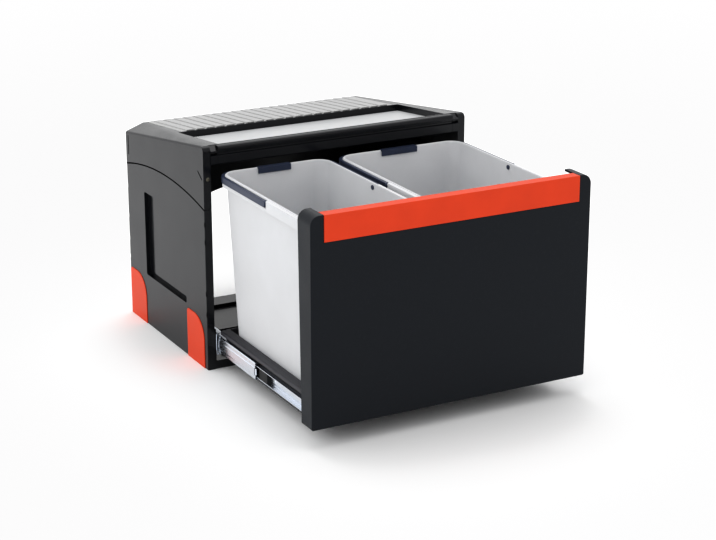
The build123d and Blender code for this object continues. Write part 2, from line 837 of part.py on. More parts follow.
def front_panel():
    """The moulded front: a skin with flanges that taper towards the bottom."""
    panel = along(panel_face(0), panel_front_y, panel_back_y)
    front_edges = panel.edges().group_by(Axis.Y)[0]
    panel = fillet(front_edges, panel_edge_radius)
    panel -= along(panel_face(panel_skin), panel_inner_y, panel_back_y + overrun)
    bottom_back = panel_front_y + panel_depth_bottom
    taper = outline_yz(
        (panel_back_y + overrun, panel_top + overrun), (panel_back_y, panel_top),
        (bottom_back, panel_bottom), (bottom_back, panel_bottom - overrun),
        (panel_back_y + overrun, panel_bottom - overrun),
    )
    panel -= across(taper, -side_x - overrun, side_x + overrun)
    notch = handle_half_width + fit_clearance
    inner_half = panel_half - panel_skin
    shelf = block(-inner_half, inner_half, panel_inner_y, panel_back_y, panel_shelf_height,
                  panel_shelf_height + panel_skin)
    panel += shelf - across(taper, -side_x, side_x)
    panel -= block(-notch, notch, panel_inner_y, panel_back_y + overrun,
                   panel_shelf_height + panel_skin, panel_top + overrun)
    handle_bottom = panel_top - handle_height
    panel -= block(-notch, notch, panel_front_y - overrun, panel_front_y + handle_recess,
                   handle_bottom - fit_clearance, panel_top + overrun)
    panel -= block(-notch, notch, panel_front_y - overrun, panel_back_y + overrun,
                   panel_top - handle_skin - running_clearance, panel_top + overrun)
    for share in panel_rib_shares:
        x = panel_width * (share - 1 / 2)
        panel += block(x - panel_rib_width / 2, x + panel_rib_width / 2, panel_inner_y,
                       panel_inner_y + panel_rib_height, bracket_top + overrun,
                       panel_shelf_height)
    for x in handle_boss_places():
        panel -= rod_y(handle_boss_radius + running_clearance, panel_front_y - overrun,
                       panel_inner_y + fit_clearance, x, handle_boss_z())
    for x in bracket_screw_places():
        panel -= rod_y(slide_screw_shank + running_clearance, panel_front_y + panel_edge_radius,
                       panel_inner_y + fit_clearance, x, bracket_upper_screw_z())
    return panel


def handle_boss_places():
    return [handle_half_width * share for share in handle_boss_shares]


def handle_boss_z():
    return panel_top - handle_height / 2


def handle_strip():
    """The bright grip: a front plate, a lip over the panel's edge and a turned-down end."""
    y_face = panel_front_y + handle_recess - handle_skin
    y_lip = panel_front_y + handle_lip_depth
    z_low = panel_top - handle_height
    strip = block(-handle_half_width, handle_half_width, y_face, y_face + handle_skin, z_low,
                  panel_top)
    strip += block(-handle_half_width, handle_half_width, y_face, y_lip, panel_top - handle_skin,
                   panel_top)
    strip += block(-handle_half_width, handle_half_width, y_lip - handle_skin, y_lip,
                   panel_top - handle_lip_drop, panel_top)
    outer = [e for e in strip.edges()
             if e.center().Z > panel_top - running_clearance
             or (abs(e.center().Y - y_face) < running_clearance)]
    strip = fillet(outer, handle_edge_radius)
    for x in handle_boss_places():
        strip += rod_y(handle_boss_radius, y_face + handle_skin / 2, panel_inner_y, x,
                       handle_boss_z())
    return strip


# Panel brackets
def bracket_screw_places():
    places = []
    for side in (-1, 1):
        for share in bracket_screw_shares:
            places.append(side * bracket_x + bracket_width * (share - 1 / 2))
    return places


def bracket_screw_z():
    return (bracket_foot_bottom + bracket_foot_top) / 2


def bracket_upper_screw_z():
    return (bracket_foot_top + bracket_top) / 2


def left_panel_bracket():
    """A bent steel bracket from the tray frame's front wall to the back of the panel."""
    x_from = -bracket_x - bracket_width / 2
    x_to = -bracket_x + bracket_width / 2
    y_panel = panel_inner_y
    foot = block(x_from, x_to, tray_frame_front_y - bracket_sheet, tray_frame_front_y,
                 bracket_foot_bottom, bracket_foot_top)
    plate = block(x_from, x_to, y_panel, y_panel + bracket_sheet, bracket_foot_top, bracket_top)
    shelf = block(x_from, x_to, y_panel, tray_frame_front_y, bracket_foot_top,
                  bracket_foot_top + bracket_sheet)
    bracket = foot + plate + shelf
    for side_edge in (x_from, x_to - bracket_sheet):
        gusset = outline_yz(
            (y_panel, bracket_foot_top), (tray_frame_front_y - bracket_sheet, bracket_foot_top),
            (y_panel + bracket_sheet, bracket_top),
            (y_panel, bracket_top))
        bracket += across(gusset, side_edge, side_edge + bracket_sheet)
    for x in bracket_screw_places():
        bracket -= rod_y(slide_screw_shank + running_clearance, y_panel - fit_clearance,
                         tray_frame_front_y + fit_clearance, x, bracket_screw_z())
        bracket -= rod_y(slide_screw_shank + running_clearance, y_panel - fit_clearance,
                         y_panel + bracket_sheet + fit_clearance, x, bracket_upper_screw_z())
    return bracket


def bracket_screws():
    screws = []
    for x in bracket_screw_places():
        y_foot = tray_frame_front_y - bracket_sheet
        for y, z, length in (
            (y_foot, bracket_screw_z(), -(bracket_sheet + tray_frame_wall)),
            (panel_inner_y + bracket_sheet, bracket_upper_screw_z(),
             bracket_sheet + panel_edge_radius / 2),
        ):
            out = 1 if length > 0 else -1
            head = rod_y(screw_head_radius, y, y + out * screw_head_height, x, z)
            shank = rod_y(slide_screw_shank, y, y - length, x, z)
            screws.append(head + shank)
    return gathered(screws)


# Bins and bails
bin_rear_y = front_y - bin_rear_open_inset
bin_front_y = bin_rear_y - bin_length
bin_base_z = tray_frame_bottom + tray_frame_wall + bin_foot_clearance
bail_z_top = bin_rim_top - bail_top_setback
bail_z_low = bail_z_top - bail_bar_height
bail_pivot_y = bin_rear_y - bin_length * bail_pivot_share
bail_pivot_z = (bail_z_top + bail_z_low) / 2
recess_z = bin_rim_top - recess_floor
recess_front_y = bail_pivot_y - bail_bar_height / 2 - bail_swing_clearance


def bin_plan(x_from, x_to, inset, radius, z):
    return rounded(x_from + inset, x_to - inset, bin_front_y + inset, bin_rear_y - inset, radius, z)


def bin_body(x_from, x_to, wall, z_from):
    """The tapered tub, as a solid set in by a wall thickness."""
    top = bin_plan(x_from, x_to, bin_top_inset + wall, body_corner_radius - wall, bin_rim_top)
    base = bin_plan(x_from, x_to, bin_base_inset + wall, bin_base_radius - wall, z_from)
    return loft([base.face(), top.face()])


def bin_inner_inset(z):
    """How far the bin's inner surface is set in at this height."""
    height = bin_rim_top - bin_base_z - bin_floor
    return bin_top_inset + bin_wall + (bin_base_inset - bin_top_inset) * (bin_rim_top - z) / height


def bin_inner_rear_y(z):
    return bin_rear_y - bin_inner_inset(z)


def rear_half(x_from, x_to, z_from, z_to):
    return block(x_from - overrun, x_to + overrun, recess_front_y, bin_rear_y + overrun, z_from, z_to)


def waste_bin(x_from, x_to, tab_width):
    body = bin_body(x_from, x_to, 0, bin_base_z)
    body = fillet(body.edges().group_by(Axis.Z)[0], bin_bottom_fillet)
    collar_z = bin_rim_top - collar_height
    collar = extrude(bin_plan(x_from, x_to, 0, bin_corner_radius, collar_z), amount=collar_height)
    recess = extrude(bin_plan(x_from, x_to, 0, bin_corner_radius, recess_z), amount=overrun)
    recess -= extrude(bin_plan(x_from, x_to, recess_depth, bin_corner_radius - recess_depth, recess_z),
                      amount=overrun)
    collar -= recess & rear_half(x_from, x_to, recess_z, bin_rim_top + overrun)
    hollow = extrude(bin_plan(x_from, x_to, collar_skin, bin_corner_radius - collar_skin, collar_z),
                     amount=collar_height - collar_skin)
    collar -= hollow - rear_half(x_from, x_to, 0, bin_rim_top)
    tub = body + collar
    tub -= bin_body(x_from, x_to, bin_wall, bin_base_z + bin_floor)
    middle_x = (x_from + x_to) / 2
    notch_half = tab_width / 2 + tab_notch_clearance
    tub -= block(middle_x - notch_half, middle_x + notch_half,
                 bin_rear_y - bin_top_inset - bin_wall * 2, bin_rear_y + overrun,
                 bail_z_top - tab_notch_clearance, bin_rim_top + overrun)
    tub = fillet(tub.edges().group_by(Axis.Z)[-1], bin_rim_radius)
    return tub - rod_x(bail_pin_radius + running_clearance, x_from, x_to, bail_pivot_y, bail_pivot_z)


def bin_bail(x_from, x_to, tab_width):
    """The carrying bail, folded back round the rear half of the bin's collar."""
    proud = bail_thickness - recess_depth + fit_clearance
    radius = bin_corner_radius + proud
    outer = extrude(bin_plan(x_from, x_to, -proud, radius, bail_z_low), amount=bail_bar_height)
    inner = extrude(bin_plan(x_from, x_to, bail_thickness - proud, radius - bail_thickness, bail_z_low),
                    amount=bail_bar_height)
    bail = outer - inner
    bail -= block(x_from - overrun, x_to + overrun, bin_front_y - overrun, bail_pivot_y,
                  0, bin_rim_top + overrun)
    bar_edges = [e for e in bail.edges() if e.center().Z > bail_z_top - fit_clearance
                 and e.center().Y > bail_pivot_y + fit_clearance]
    bail = fillet(bar_edges, bail_edge_radius)
    for x_side, step in ((x_from - proud, bail_thickness), (x_to + proud, -bail_thickness)):
        bail += rod_x(bail_bar_height / 2, x_side, x_side + step, bail_pivot_y, bail_pivot_z)
    middle_x = (x_from + x_to) / 2
    y_bar = bin_rear_y - recess_depth + fit_clearance
    y_inside = bin_inner_rear_y(bin_rim_top - bail_tab_drop) - fit_clearance
    tab = block(middle_x - tab_width / 2, middle_x + tab_width / 2,
                y_inside - bail_tab_thickness, y_bar + bail_thickness / 2, bail_z_top - running_clearance,
                bin_rim_top)
    tab += block(middle_x - tab_width / 2, middle_x + tab_width / 2,
                 y_inside - bail_tab_thickness, y_inside, bin_rim_top - bail_tab_drop, bin_rim_top)
    bail += tab
    bail -= rod_x(bail_pin_radius + running_clearance, x_from - overrun, x_to + overrun,
                  bail_pivot_y, bail_pivot_z)
    return bail


def bail_pins(x_from, x_to):
    """Two pivot pins, each with its head inside the bin."""
    pins = []
    proud = bail_thickness - recess_depth + fit_clearance
    seat = bin_inner_inset(bail_pivot_z - bail_pin_head_radius) + running_clearance
    for x_out, x_in in ((x_from - proud, x_from + seat), (x_to + proud, x_to - seat)):
        inward = 1 if x_in > x_out else -1
        pin = rod_x(bail_pin_radius, x_out, x_in, bail_pivot_y, bail_pivot_z)
        pin += rod_x(bail_pin_head_radius, x_in, x_in + inward * bail_pin_head_height,
                     bail_pivot_y, bail_pivot_z)
        pins.append(pin)
    return gathered(pins)


def all_parts():
    parts = {
        "base_frame": base_frame(),
        "left_side_wall": left_side_wall(),
        "rear_wall": rear_wall(),
        "top_cover": top_cover(),
        "ribbed_mat": ribbed_mat(),
        "storage_insert": storage_insert(),
        "front_rail": front_rail(),
        "left_rail_end": left_rail_end(),
        "cover_screws": cover_screws(),
        "left_slide_outer": left_slide_outer(),
        "left_slide_middle": left_slide_middle(),
        "left_slide_inner": left_slide_inner(),
        "left_slide_buffer": left_slide_buffer(),
        "left_outer_cage": ball_cage(outer_cage_offset, outer_ball_offset, outer_ball_z, outer_cage_y),
        "left_outer_balls": ball_set(outer_ball_offset, outer_ball_z, outer_cage_y),
        "left_inner_cage": ball_cage(inner_cage_offset, inner_ball_offset, inner_ball_z, inner_cage_y),
        "left_inner_balls": ball_set(inner_ball_offset, inner_ball_z, inner_cage_y),
        "outer_slide_screws": outer_slide_screws(),
        "inner_slide_screws": inner_slide_screws(),
        "tray_frame": tray_frame(),
        "front_panel": front_panel(),
        "handle_strip": handle_strip(),
        "left_panel_bracket": left_panel_bracket(),
        "bracket_screws": bracket_screws(),
        "left_bin": waste_bin(left_bin_outer_x, left_bin_inner_x, left_tab_width),
        "right_bin": waste_bin(right_bin_inner_x, right_bin_outer_x, right_tab_width),
        "left_bin_bail": bin_bail(left_bin_outer_x, left_bin_inner_x, left_tab_width),
        "right_bin_bail": bin_bail(right_bin_inner_x, right_bin_outer_x, right_tab_width),
        "left_bin_pins": bail_pins(left_bin_outer_x, left_bin_inner_x),
        "right_bin_pins": bail_pins(right_bin_inner_x, right_bin_outer_x),
    }
    for end, clip_front in clip_fronts.items():
        parts["left_" + end + "_clip"] = left_clip(clip_front)
    for name in list(parts):
        if name.startswith("left_") and not name.startswith("left_bin"):
            parts[name.replace("left_", "right_")] = mirrored(parts[name])
    return parts


def main():
    os.makedirs("parts", exist_ok=True)
    for name, shape in all_parts().items():
        shape.label = name
        export_step(shape, os.path.join("parts", name + ".step"))


main()
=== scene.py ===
# %% [markdown]
# # A pull-out waste bin unit
#
# This lesson dresses a kitchen waste unit: a black housing with a sloping lid, and a drawer that
# carries two grey bins behind a dark front panel. The solids come from a CAD model, already in
# place and in metres. X runs across the unit, Y from the front to the back and Z up. Here each
# solid gets the soft edges, the small pieces and the finish that the real one has.

# %% Load the frame
import json
import math

import bmesh
import bpy
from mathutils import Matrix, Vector


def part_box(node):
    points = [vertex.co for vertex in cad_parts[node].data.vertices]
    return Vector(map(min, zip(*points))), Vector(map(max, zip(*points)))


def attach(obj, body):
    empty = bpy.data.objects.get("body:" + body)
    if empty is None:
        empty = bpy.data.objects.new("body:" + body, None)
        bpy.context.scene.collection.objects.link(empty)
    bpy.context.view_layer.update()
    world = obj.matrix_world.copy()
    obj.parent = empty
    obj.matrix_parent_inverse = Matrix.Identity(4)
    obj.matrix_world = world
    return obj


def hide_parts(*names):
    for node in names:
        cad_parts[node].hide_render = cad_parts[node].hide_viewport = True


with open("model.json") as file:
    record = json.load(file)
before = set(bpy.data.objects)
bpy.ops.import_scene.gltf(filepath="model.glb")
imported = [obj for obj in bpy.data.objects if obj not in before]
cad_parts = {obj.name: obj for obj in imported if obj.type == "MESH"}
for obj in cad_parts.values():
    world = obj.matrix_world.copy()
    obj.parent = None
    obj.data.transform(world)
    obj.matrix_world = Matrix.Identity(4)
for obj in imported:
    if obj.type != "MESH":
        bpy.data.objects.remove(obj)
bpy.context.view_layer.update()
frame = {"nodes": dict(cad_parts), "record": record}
nodes = frame["nodes"]
body_of = {
    name: body
    for body, members in frame["record"]["behaviour"]["bodies"].items()
    for name in members
}
slot_of = {part["node"]: part["material_slot"] for part in frame["record"]["subparts"]}
MM = 0.001

# %% [markdown]
# ## The camera
#
# The photograph looks down on the unit from its front left corner. A camera can be placed by eye,
# but a camera that is worked out from the straight edges of the object gives the same perspective
# at once. The numbers here come from such a fit: the place, the turn, the tilt and the focal
# length in pixels of the photograph.

# %% Camera
PHOTO_WIDTH_PX = 716
SENSOR_MM = 36.0
CAMERA_PLACE = Vector((-1.32807, -2.68355, 1.07933))
CAMERA_TURN = math.radians(28.283)
CAMERA_TILT = math.radians(18.459)
FOCAL_PX = 1951.6


def make_camera():
    data = bpy.data.cameras.new("photo_camera")
    data.sensor_width = SENSOR_MM
    data.lens = FOCAL_PX / PHOTO_WIDTH_PX * SENSOR_MM
    camera = bpy.data.objects.new("photo_camera", data)
    camera.location = CAMERA_PLACE
    camera.rotation_euler = (math.pi / 2 - CAMERA_TILT, 0, -CAMERA_TURN)
    bpy.context.scene.collection.objects.link(camera)
    bpy.context.scene.camera = camera
    print("lens", round(data.lens, 1), "mm")


make_camera()

# %% [markdown]
# ## Two helpers
#
# Colours are written as sRGB hex values, as a paint chart gives them, but a shader works with
# linear light, so one function converts them. Shaders and Geometry Nodes are both trees of nodes,
# and one function adds a node to either: it sets the node's own options and its input values, and
# links the inputs that come from other nodes.

# %% Colours and nodes


def colour(hex_code, share=1.0):
    """An sRGB hex colour as linear values, made lighter or darker by a share."""
    channels = [int(hex_code[i:i + 2], 16) / 255 for i in (1, 3, 5)]
    linear = [c / 12.92 if c <= 0.04045 else ((c + 0.055) / 1.055) ** 2.4 for c in channels]
    return (*[min(1.0, c * share) for c in linear], 1.0)


def add(tree, kind, links=None, values=None, **settings):
    """Adds one node with its options, its input values and its links."""
    node = tree.nodes.new(kind)
    for key, value in settings.items():
        setattr(node, key, value)
    for key, value in (values or {}).items():
        node.inputs[key].default_value = value
    for key, source in (links or {}).items():
        tree.links.new(source, node.inputs[key])
    return node


print("linear value of mid grey:", round(colour("#808080")[0], 3))

# %% [markdown]
# ## Studio
#
# The unit was photographed on white. What a glossy black thing shows is mostly what it mirrors,
# so the left wall is grey only because it mirrors the white floor at a flat angle, while the
# front panel, seen more squarely, stays nearly black. A bright even sky keeps the shadows faint,
# and two large soft lights give the bins a little shape.

# %% Floor and lights
FLOOR_SIZE = 14.0
PAPER_COLOUR = "#f6f6f6"
PAPER_ROUGHNESS = 0.9
PAPER_MIRROR = 0.1
SKY_COLOUR = "#ffffff"
SKY_STRENGTH = 1.0
# Each light: its place, what it faces, its width and depth in metres and its power in watts.
SOFTBOXES = {
    "ceiling_softbox": ((0.3, 0.7, 2.8), (0, -0.1, 0.2), (2.6, 2.0), 22),
    "left_softbox": ((-2.6, 0.2, 1.5), (-0.2, -0.2, 0.2), (1.6, 1.8), 9),
}


def make_floor():
    mesh = bpy.data.meshes.new("floor")
    half = FLOOR_SIZE / 2
    corners = [(-half, -half, 0), (half, -half, 0), (half, half, 0), (-half, half, 0)]
    mesh.from_pydata(corners, [], [(0, 1, 2, 3)])
    floor = bpy.data.objects.new("floor", mesh)
    bpy.context.scene.collection.objects.link(floor)
    paper = bpy.data.materials.new("studio_paper")
    paper.use_nodes = True
    shader = paper.node_tree.nodes["Principled BSDF"]
    shader.inputs["Base Color"].default_value = colour(PAPER_COLOUR)
    shader.inputs["Roughness"].default_value = PAPER_ROUGHNESS
    shader.inputs["Specular IOR Level"].default_value = PAPER_MIRROR
    mesh.materials.append(paper)


def make_light(name, place, target, size, power):
    data = bpy.data.lights.new(name, "AREA")
    data.shape = "RECTANGLE"
    data.size, data.size_y = size
    data.energy = power
    light = bpy.data.objects.new(name, data)
    light.location = place
    light.rotation_euler = (Vector(target) - Vector(place)).to_track_quat("-Z", "Y").to_euler()
    bpy.context.scene.collection.objects.link(light)


def make_studio():
    make_floor()
    world = bpy.data.worlds.new("studio")
    bpy.context.scene.world = world
    world.use_nodes = True
    background = world.node_tree.nodes["Background"]
    background.inputs["Color"].default_value = colour(SKY_COLOUR)
    background.inputs["Strength"].default_value = SKY_STRENGTH
    for name, (place, target, size, power) in SOFTBOXES.items():
        make_light(name, place, target, size, power)


make_studio()

# %% [markdown]
# ## Contrast
#
# A catalogue photograph is printed with more contrast than a plain linear camera gives: the
# blacks are deeper and the paper is clean white. A curve in the colour management does the same
# to the finished picture and leaves the materials alone. Its points are linear light in and out.

# %% Tone curve
TONE_POINTS = [
    (0.0, 0.0), (0.012, 0.005), (0.04, 0.018), (0.11, 0.07), (0.2, 0.155), (0.4, 0.39),
    (0.7, 0.74), (0.92, 1.0), (1.0, 1.0),
]
ALL_CHANNELS = 3


def set_tone_curve():
    view = bpy.context.scene.view_settings
    view.view_transform = "Standard"
    view.use_curve_mapping = True
    curve = view.curve_mapping.curves[ALL_CHANNELS]
    curve.points[0].location, curve.points[-1].location = TONE_POINTS[0], TONE_POINTS[-1]
    for point in TONE_POINTS[1:-1]:
        curve.points.new(*point)
    view.curve_mapping.update()
    print("tone curve:", len(curve.points), "points")


set_tone_curve()

# %% [markdown]
# ## Plastics
#
# Almost everything here is injection moulded. A moulded skin copies the steel of its mould, so it
# has either a polish or the fine pitted grain that spark erosion leaves in the steel, about 0.2
# to 0.4 mm from pit to pit. That grain is too fine for this picture, so it is drawn about 0.8 mm
# wide. Over it lies a slow change of gloss, several centimetres wide, from the way the plastic
# flowed and cooled, and a faint dust of lighter scuffs. No moulded edge is perfectly sharp: the
# Bevel node turns the surface's direction near an edge, as a small radius does, so the edges
# catch the thin line of light that makes a thing look real. IOR is 1.5, as for ABS and
# polypropylene.

# %% Moulded plastic
GRAIN_MM = 0.8
GRAIN_DEPTH_MM = 0.2
FLOW_MM = 45.0
FLOW_RANGE = (0.3, 0.7)
GLOSS_SPREAD = 0.06
SCUFF_MM = 6.0
SCUFF_RANGE = (0.55, 0.8)
SCUFF_COLOUR = "#9a9da2"
EDGE_RADIUS_MM = 0.6
EDGE_SAMPLES = 4
PLASTIC_IOR = 1.5
SHEEN_ROUGHNESS = 0.4
LIGHT_REACH_MM = 4.0


def moulded(name, hex_code, roughness, grain, mirror=0.5, soft=0.0, shift=0.04, scuff=0.0,
            edge_mm=EDGE_RADIUS_MM, sheen=0.0):
    """A moulded plastic: pitted grain, slow changes of gloss, faint scuffs and soft edges."""
    material = bpy.data.materials.new(name)
    material.use_nodes = True
    tree = material.node_tree
    shader = tree.nodes["Principled BSDF"]
    shader.inputs["IOR"].default_value = PLASTIC_IOR
    shader.inputs["Specular IOR Level"].default_value = mirror
    shader.inputs["Sheen Weight"].default_value = sheen
    shader.inputs["Sheen Roughness"].default_value = SHEEN_ROUGHNESS
    shader.inputs["Subsurface Weight"].default_value = soft
    shader.inputs["Subsurface Radius"].default_value = (LIGHT_REACH_MM * MM,) * 3
    place = add(tree, "ShaderNodeTexCoord").outputs["Object"]
    flow = add(tree, "ShaderNodeTexNoise", {"Vector": place},
               {"Scale": 1 / (FLOW_MM * MM), "Detail": 3.0})
    gloss = add(tree, "ShaderNodeMapRange", {"Value": flow.outputs["Fac"]},
                {"From Min": FLOW_RANGE[0], "From Max": FLOW_RANGE[1],
                 "To Min": roughness - GLOSS_SPREAD / 2, "To Max": roughness + GLOSS_SPREAD / 2})
    tree.links.new(gloss.outputs["Result"], shader.inputs["Roughness"])
    tone = add(tree, "ShaderNodeValToRGB", {"Fac": flow.outputs["Fac"]})
    shares = (1 - shift, 1 + shift)
    for element, position, share in zip(tone.color_ramp.elements, FLOW_RANGE, shares):
        element.position, element.color = position, colour(hex_code, share)
    dust = add(tree, "ShaderNodeTexNoise", {"Vector": place},
               {"Scale": 1 / (SCUFF_MM * MM), "Detail": 6.0})
    faint = add(tree, "ShaderNodeMapRange", {"Value": dust.outputs["Fac"]},
                {"From Min": SCUFF_RANGE[0], "From Max": SCUFF_RANGE[1],
                 "To Min": 0.0, "To Max": scuff})
    worn = add(tree, "ShaderNodeMixRGB",
               {"Fac": faint.outputs["Result"], "Color1": tone.outputs["Color"]},
               {"Color2": colour(SCUFF_COLOUR)})
    tree.links.new(worn.outputs["Color"], shader.inputs["Base Color"])
    pits = add(tree, "ShaderNodeTexNoise", {"Vector": place},
               {"Scale": 1 / (GRAIN_MM * MM), "Detail": 2.0})
    edge = add(tree, "ShaderNodeBevel", values={"Radius": edge_mm * MM}, samples=EDGE_SAMPLES)
    bump = add(tree, "ShaderNodeBump",
               {"Height": pits.outputs["Fac"], "Normal": edge.outputs["Normal"]},
               {"Strength": grain, "Distance": GRAIN_DEPTH_MM * MM})
    tree.links.new(bump.outputs["Normal"], shader.inputs["Normal"])
    return material


PLASTICS = {
    # Housing: polished black ABS, which mirrors the white room softly.
    "black_plastic": moulded("black_moulded_abs", "#0d0f15", 0.24, 0.06, mirror=0.46, scuff=0.015),
    # Front panel: ABS from a grained mould, so it mirrors far less and looks evenly dark.
    "panel_plastic": moulded("anthracite_grained_abs", "#151a21", 0.42, 0.30, mirror=0.3,
                             scuff=0.01, edge_mm=1.0, sheen=0.06),
    # Strip and corner clips: dyed through, so the colour stays deep in the shade.
    "orange_plastic": moulded("orange_moulded_abs", "#d64a28", 0.42, 0.12, mirror=0.25),
    # Bins: polypropylene lets a little light in, which softens its shadows.
    "bin_plastic": moulded("silver_grey_polypropylene", "#d2d3d5", 0.40, 0.30, mirror=0.35,
                           soft=0.12, shift=0.02),
    # Bails and their pins: satin polypropylene, so each rounded bar has one soft highlight.
    "slate_plastic": moulded("slate_polypropylene", "#343c50", 0.36, 0.16, edge_mm=0.9),
    # Ribbed mat: satin ABS, on which only the ribs' shoulders catch the light.
    "pale_plastic": moulded("pale_grey_abs", "#a9a9a9", 0.42, 0.14, mirror=0.35),
    # Shelf plate: lighter and a little smoother than the mat beside it.
    "shelf_plastic": moulded("light_grey_abs", "#c0c1c2", 0.36, 0.1, mirror=0.35, shift=0.02),
    # Tray and slide covers: a coarse grain that hides scratches, so they look dull and soft.
    "tray_plastic": moulded("dark_grey_polypropylene", "#3a3a3f", 0.42, 0.45, scuff=0.04),
    # Buffers of the slides: polyacetal with an oily, even gloss.
    "buffer_rubber": moulded("black_polyacetal", "#0c0c0d", 0.45, 0.1),
    # Seam strip: a dull black that mirrors almost nothing. It is painted shade, standing in for the
    # shadow in the gap between lid and wall.
    "seam_shadow_black": moulded("black_lip_rubber", "#040405", 0.85, 0.1, mirror=0.03),
}
print("plastics:", len(PLASTICS))

# %% [markdown]
# ## Steel
#
# The slides and brackets are cold-rolled strip, folded and zinc plated. Rolling leaves fine lines
# along the strip, and the plating leaves a slightly cloudy, bluish silver. The lines are noise
# that is stretched a hundred times along Y, the length of the slides. The balls are polished
# bearing steel, and their cages plain strip.

# %% Zinc-plated and plain steel
LINE_MM = 0.7
LINE_DEPTH_MM = 0.1
LINE_SPREAD = 0.08
CLOUD_MM = 12.0
STRETCH = 0.01


def rolled_steel(name, hex_code, roughness, lines, cloud=0.05):
    """Bare or plated steel: fine lines along Y and a cloudy tone."""
    material = bpy.data.materials.new(name)
    material.use_nodes = True
    tree = material.node_tree
    shader = tree.nodes["Principled BSDF"]
    shader.inputs["Metallic"].default_value = 1.0
    place = add(tree, "ShaderNodeTexCoord").outputs["Object"]
    along = add(tree, "ShaderNodeMapping", {"Vector": place}, {"Scale": (1, STRETCH, 1)})
    streaks = add(tree, "ShaderNodeTexNoise", {"Vector": along.outputs["Vector"]},
                  {"Scale": 1 / (LINE_MM * MM), "Detail": 3.0})
    clouds = add(tree, "ShaderNodeTexNoise", {"Vector": place},
                 {"Scale": 1 / (CLOUD_MM * MM), "Detail": 4.0})
    tone = add(tree, "ShaderNodeValToRGB", {"Fac": clouds.outputs["Fac"]})
    tone.color_ramp.elements[0].color = colour(hex_code, 1 - cloud)
    tone.color_ramp.elements[1].color = colour(hex_code, 1 + cloud)
    tree.links.new(tone.outputs["Color"], shader.inputs["Base Color"])
    rough = add(tree, "ShaderNodeMapRange", {"Value": streaks.outputs["Fac"]},
                {"To Min": roughness - LINE_SPREAD, "To Max": roughness + LINE_SPREAD})
    tree.links.new(rough.outputs["Result"], shader.inputs["Roughness"])
    bump = add(tree, "ShaderNodeBump", {"Height": streaks.outputs["Fac"]},
               {"Strength": lines, "Distance": LINE_DEPTH_MM * MM})
    tree.links.new(bump.outputs["Normal"], shader.inputs["Normal"])
    return material


STEELS = {
    # Slides, brackets and their screws: slightly blue, with lines that draw out a reflection.
    "zinc_steel": rolled_steel("zinc_plated_rolled_steel", "#e4e9f0", 0.24, 0.15),
    # Ball cages: strip without plating, so it is greyer and duller.
    "cage_steel": rolled_steel("plain_rolled_steel", "#a9abaf", 0.38, 0.2),
    # Balls: polished until no line is left, so each one mirrors the white room.
    "ball_steel": rolled_steel("polished_bearing_steel", "#dfe0e2", 0.12, 0.0, cloud=0.01),
    # Cover screws: passivated a dull yellow grey, so they stay darker than the slides.
    "dark_steel": rolled_steel("passivated_screw_steel", "#77746a", 0.38, 0.05),
}
FINISHES = {**PLASTICS, **STEELS}
print("steels:", len(STEELS))

# %% [markdown]
# ## Smooth copies of the CAD pieces
#
# The CAD faces come as loose triangles, which look faceted where a face is curved. A merged copy
# shades smoothly across its small angles and keeps its real edges. On its own that bends the
# shading of large flat faces, so a Weighted Normal modifier lets the large faces decide.
# Flat-sided pieces need none of this and stay as they are.

# %% Finishing a piece
MERGE_DISTANCE = 0.005 * MM
SHARP_ANGLE = math.radians(32)
LARGE_FACES_LEAD = 100


def dress(piece, body, slot, *replaced, finish=None):
    """Gives a finished piece its material, its body and the CAD nodes that it stands for."""
    piece.data.materials.clear()
    piece.data.materials.append(FINISHES[finish or slot])
    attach(piece, body)
    if replaced:
        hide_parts(*replaced)


def apply_modifiers(piece):
    """Turns a piece with modifiers into a plain mesh."""
    graph = bpy.context.evaluated_depsgraph_get()
    made = bpy.data.meshes.new_from_object(piece.evaluated_get(graph))
    piece.modifiers.clear()
    piece.data = made
    return piece


def new_piece(name, mesh):
    piece = bpy.data.objects.new(name, mesh)
    bpy.context.scene.collection.objects.link(piece)
    return piece


def mark_edges(mesh, recalculate=False):
    """Merges a mesh and marks as sharp the edges that really are."""
    work = bmesh.new()
    work.from_mesh(mesh)
    bmesh.ops.remove_doubles(work, verts=work.verts, dist=MERGE_DISTANCE)
    if recalculate:
        bmesh.ops.recalc_face_normals(work, faces=work.faces)
    for face in work.faces:
        face.smooth = True
    for edge in work.edges:
        edge.smooth = len(edge.link_faces) == 2 and edge.calc_face_angle(0) < SHARP_ANGLE
    work.to_mesh(mesh)
    work.free()


def weigh_normals(piece):
    """Lets the large flat faces decide the shading of the small ones beside them."""
    weigh = piece.modifiers.new("weigh_normals", "WEIGHTED_NORMAL")
    weigh.keep_sharp = True
    weigh.weight = LARGE_FACES_LEAD
    return apply_modifiers(piece)


def smooth_copy(node_name):
    """A smoothly shaded copy of a CAD piece, which then stands for that piece."""
    mesh = nodes[node_name].data.copy()
    mesh.name = node_name + "_moulded"
    mark_edges(mesh)
    piece = weigh_normals(new_piece(node_name + "_moulded", mesh))
    dress(piece, body_of[node_name], slot_of[node_name], node_name)


# %% Finish every CAD piece
# Two nodes look different from the rest of their slot.
OWN_FINISH = {"storage_insert": "shelf_plastic", "cover_screws": "dark_steel"}
for name, node in nodes.items():
    node.data.materials.clear()
    node.data.materials.append(FINISHES[OWN_FINISH.get(name, slot_of[name])])

CURVED = [
    "top_cover", "left_side_wall", "right_side_wall", "rear_wall", "front_rail", "left_rail_end",
    "right_rail_end", "base_frame", "left_front_clip", "left_rear_clip", "right_front_clip",
    "right_rear_clip", "front_panel", "handle_strip", "left_bin_bail", "right_bin_bail",
    "left_bin_pins", "right_bin_pins", "left_outer_cage", "right_outer_cage", "left_inner_cage",
    "right_inner_cage",
]
for name in CURVED:
    smooth_copy(name)
print("smooth copies:", len(CURVED))

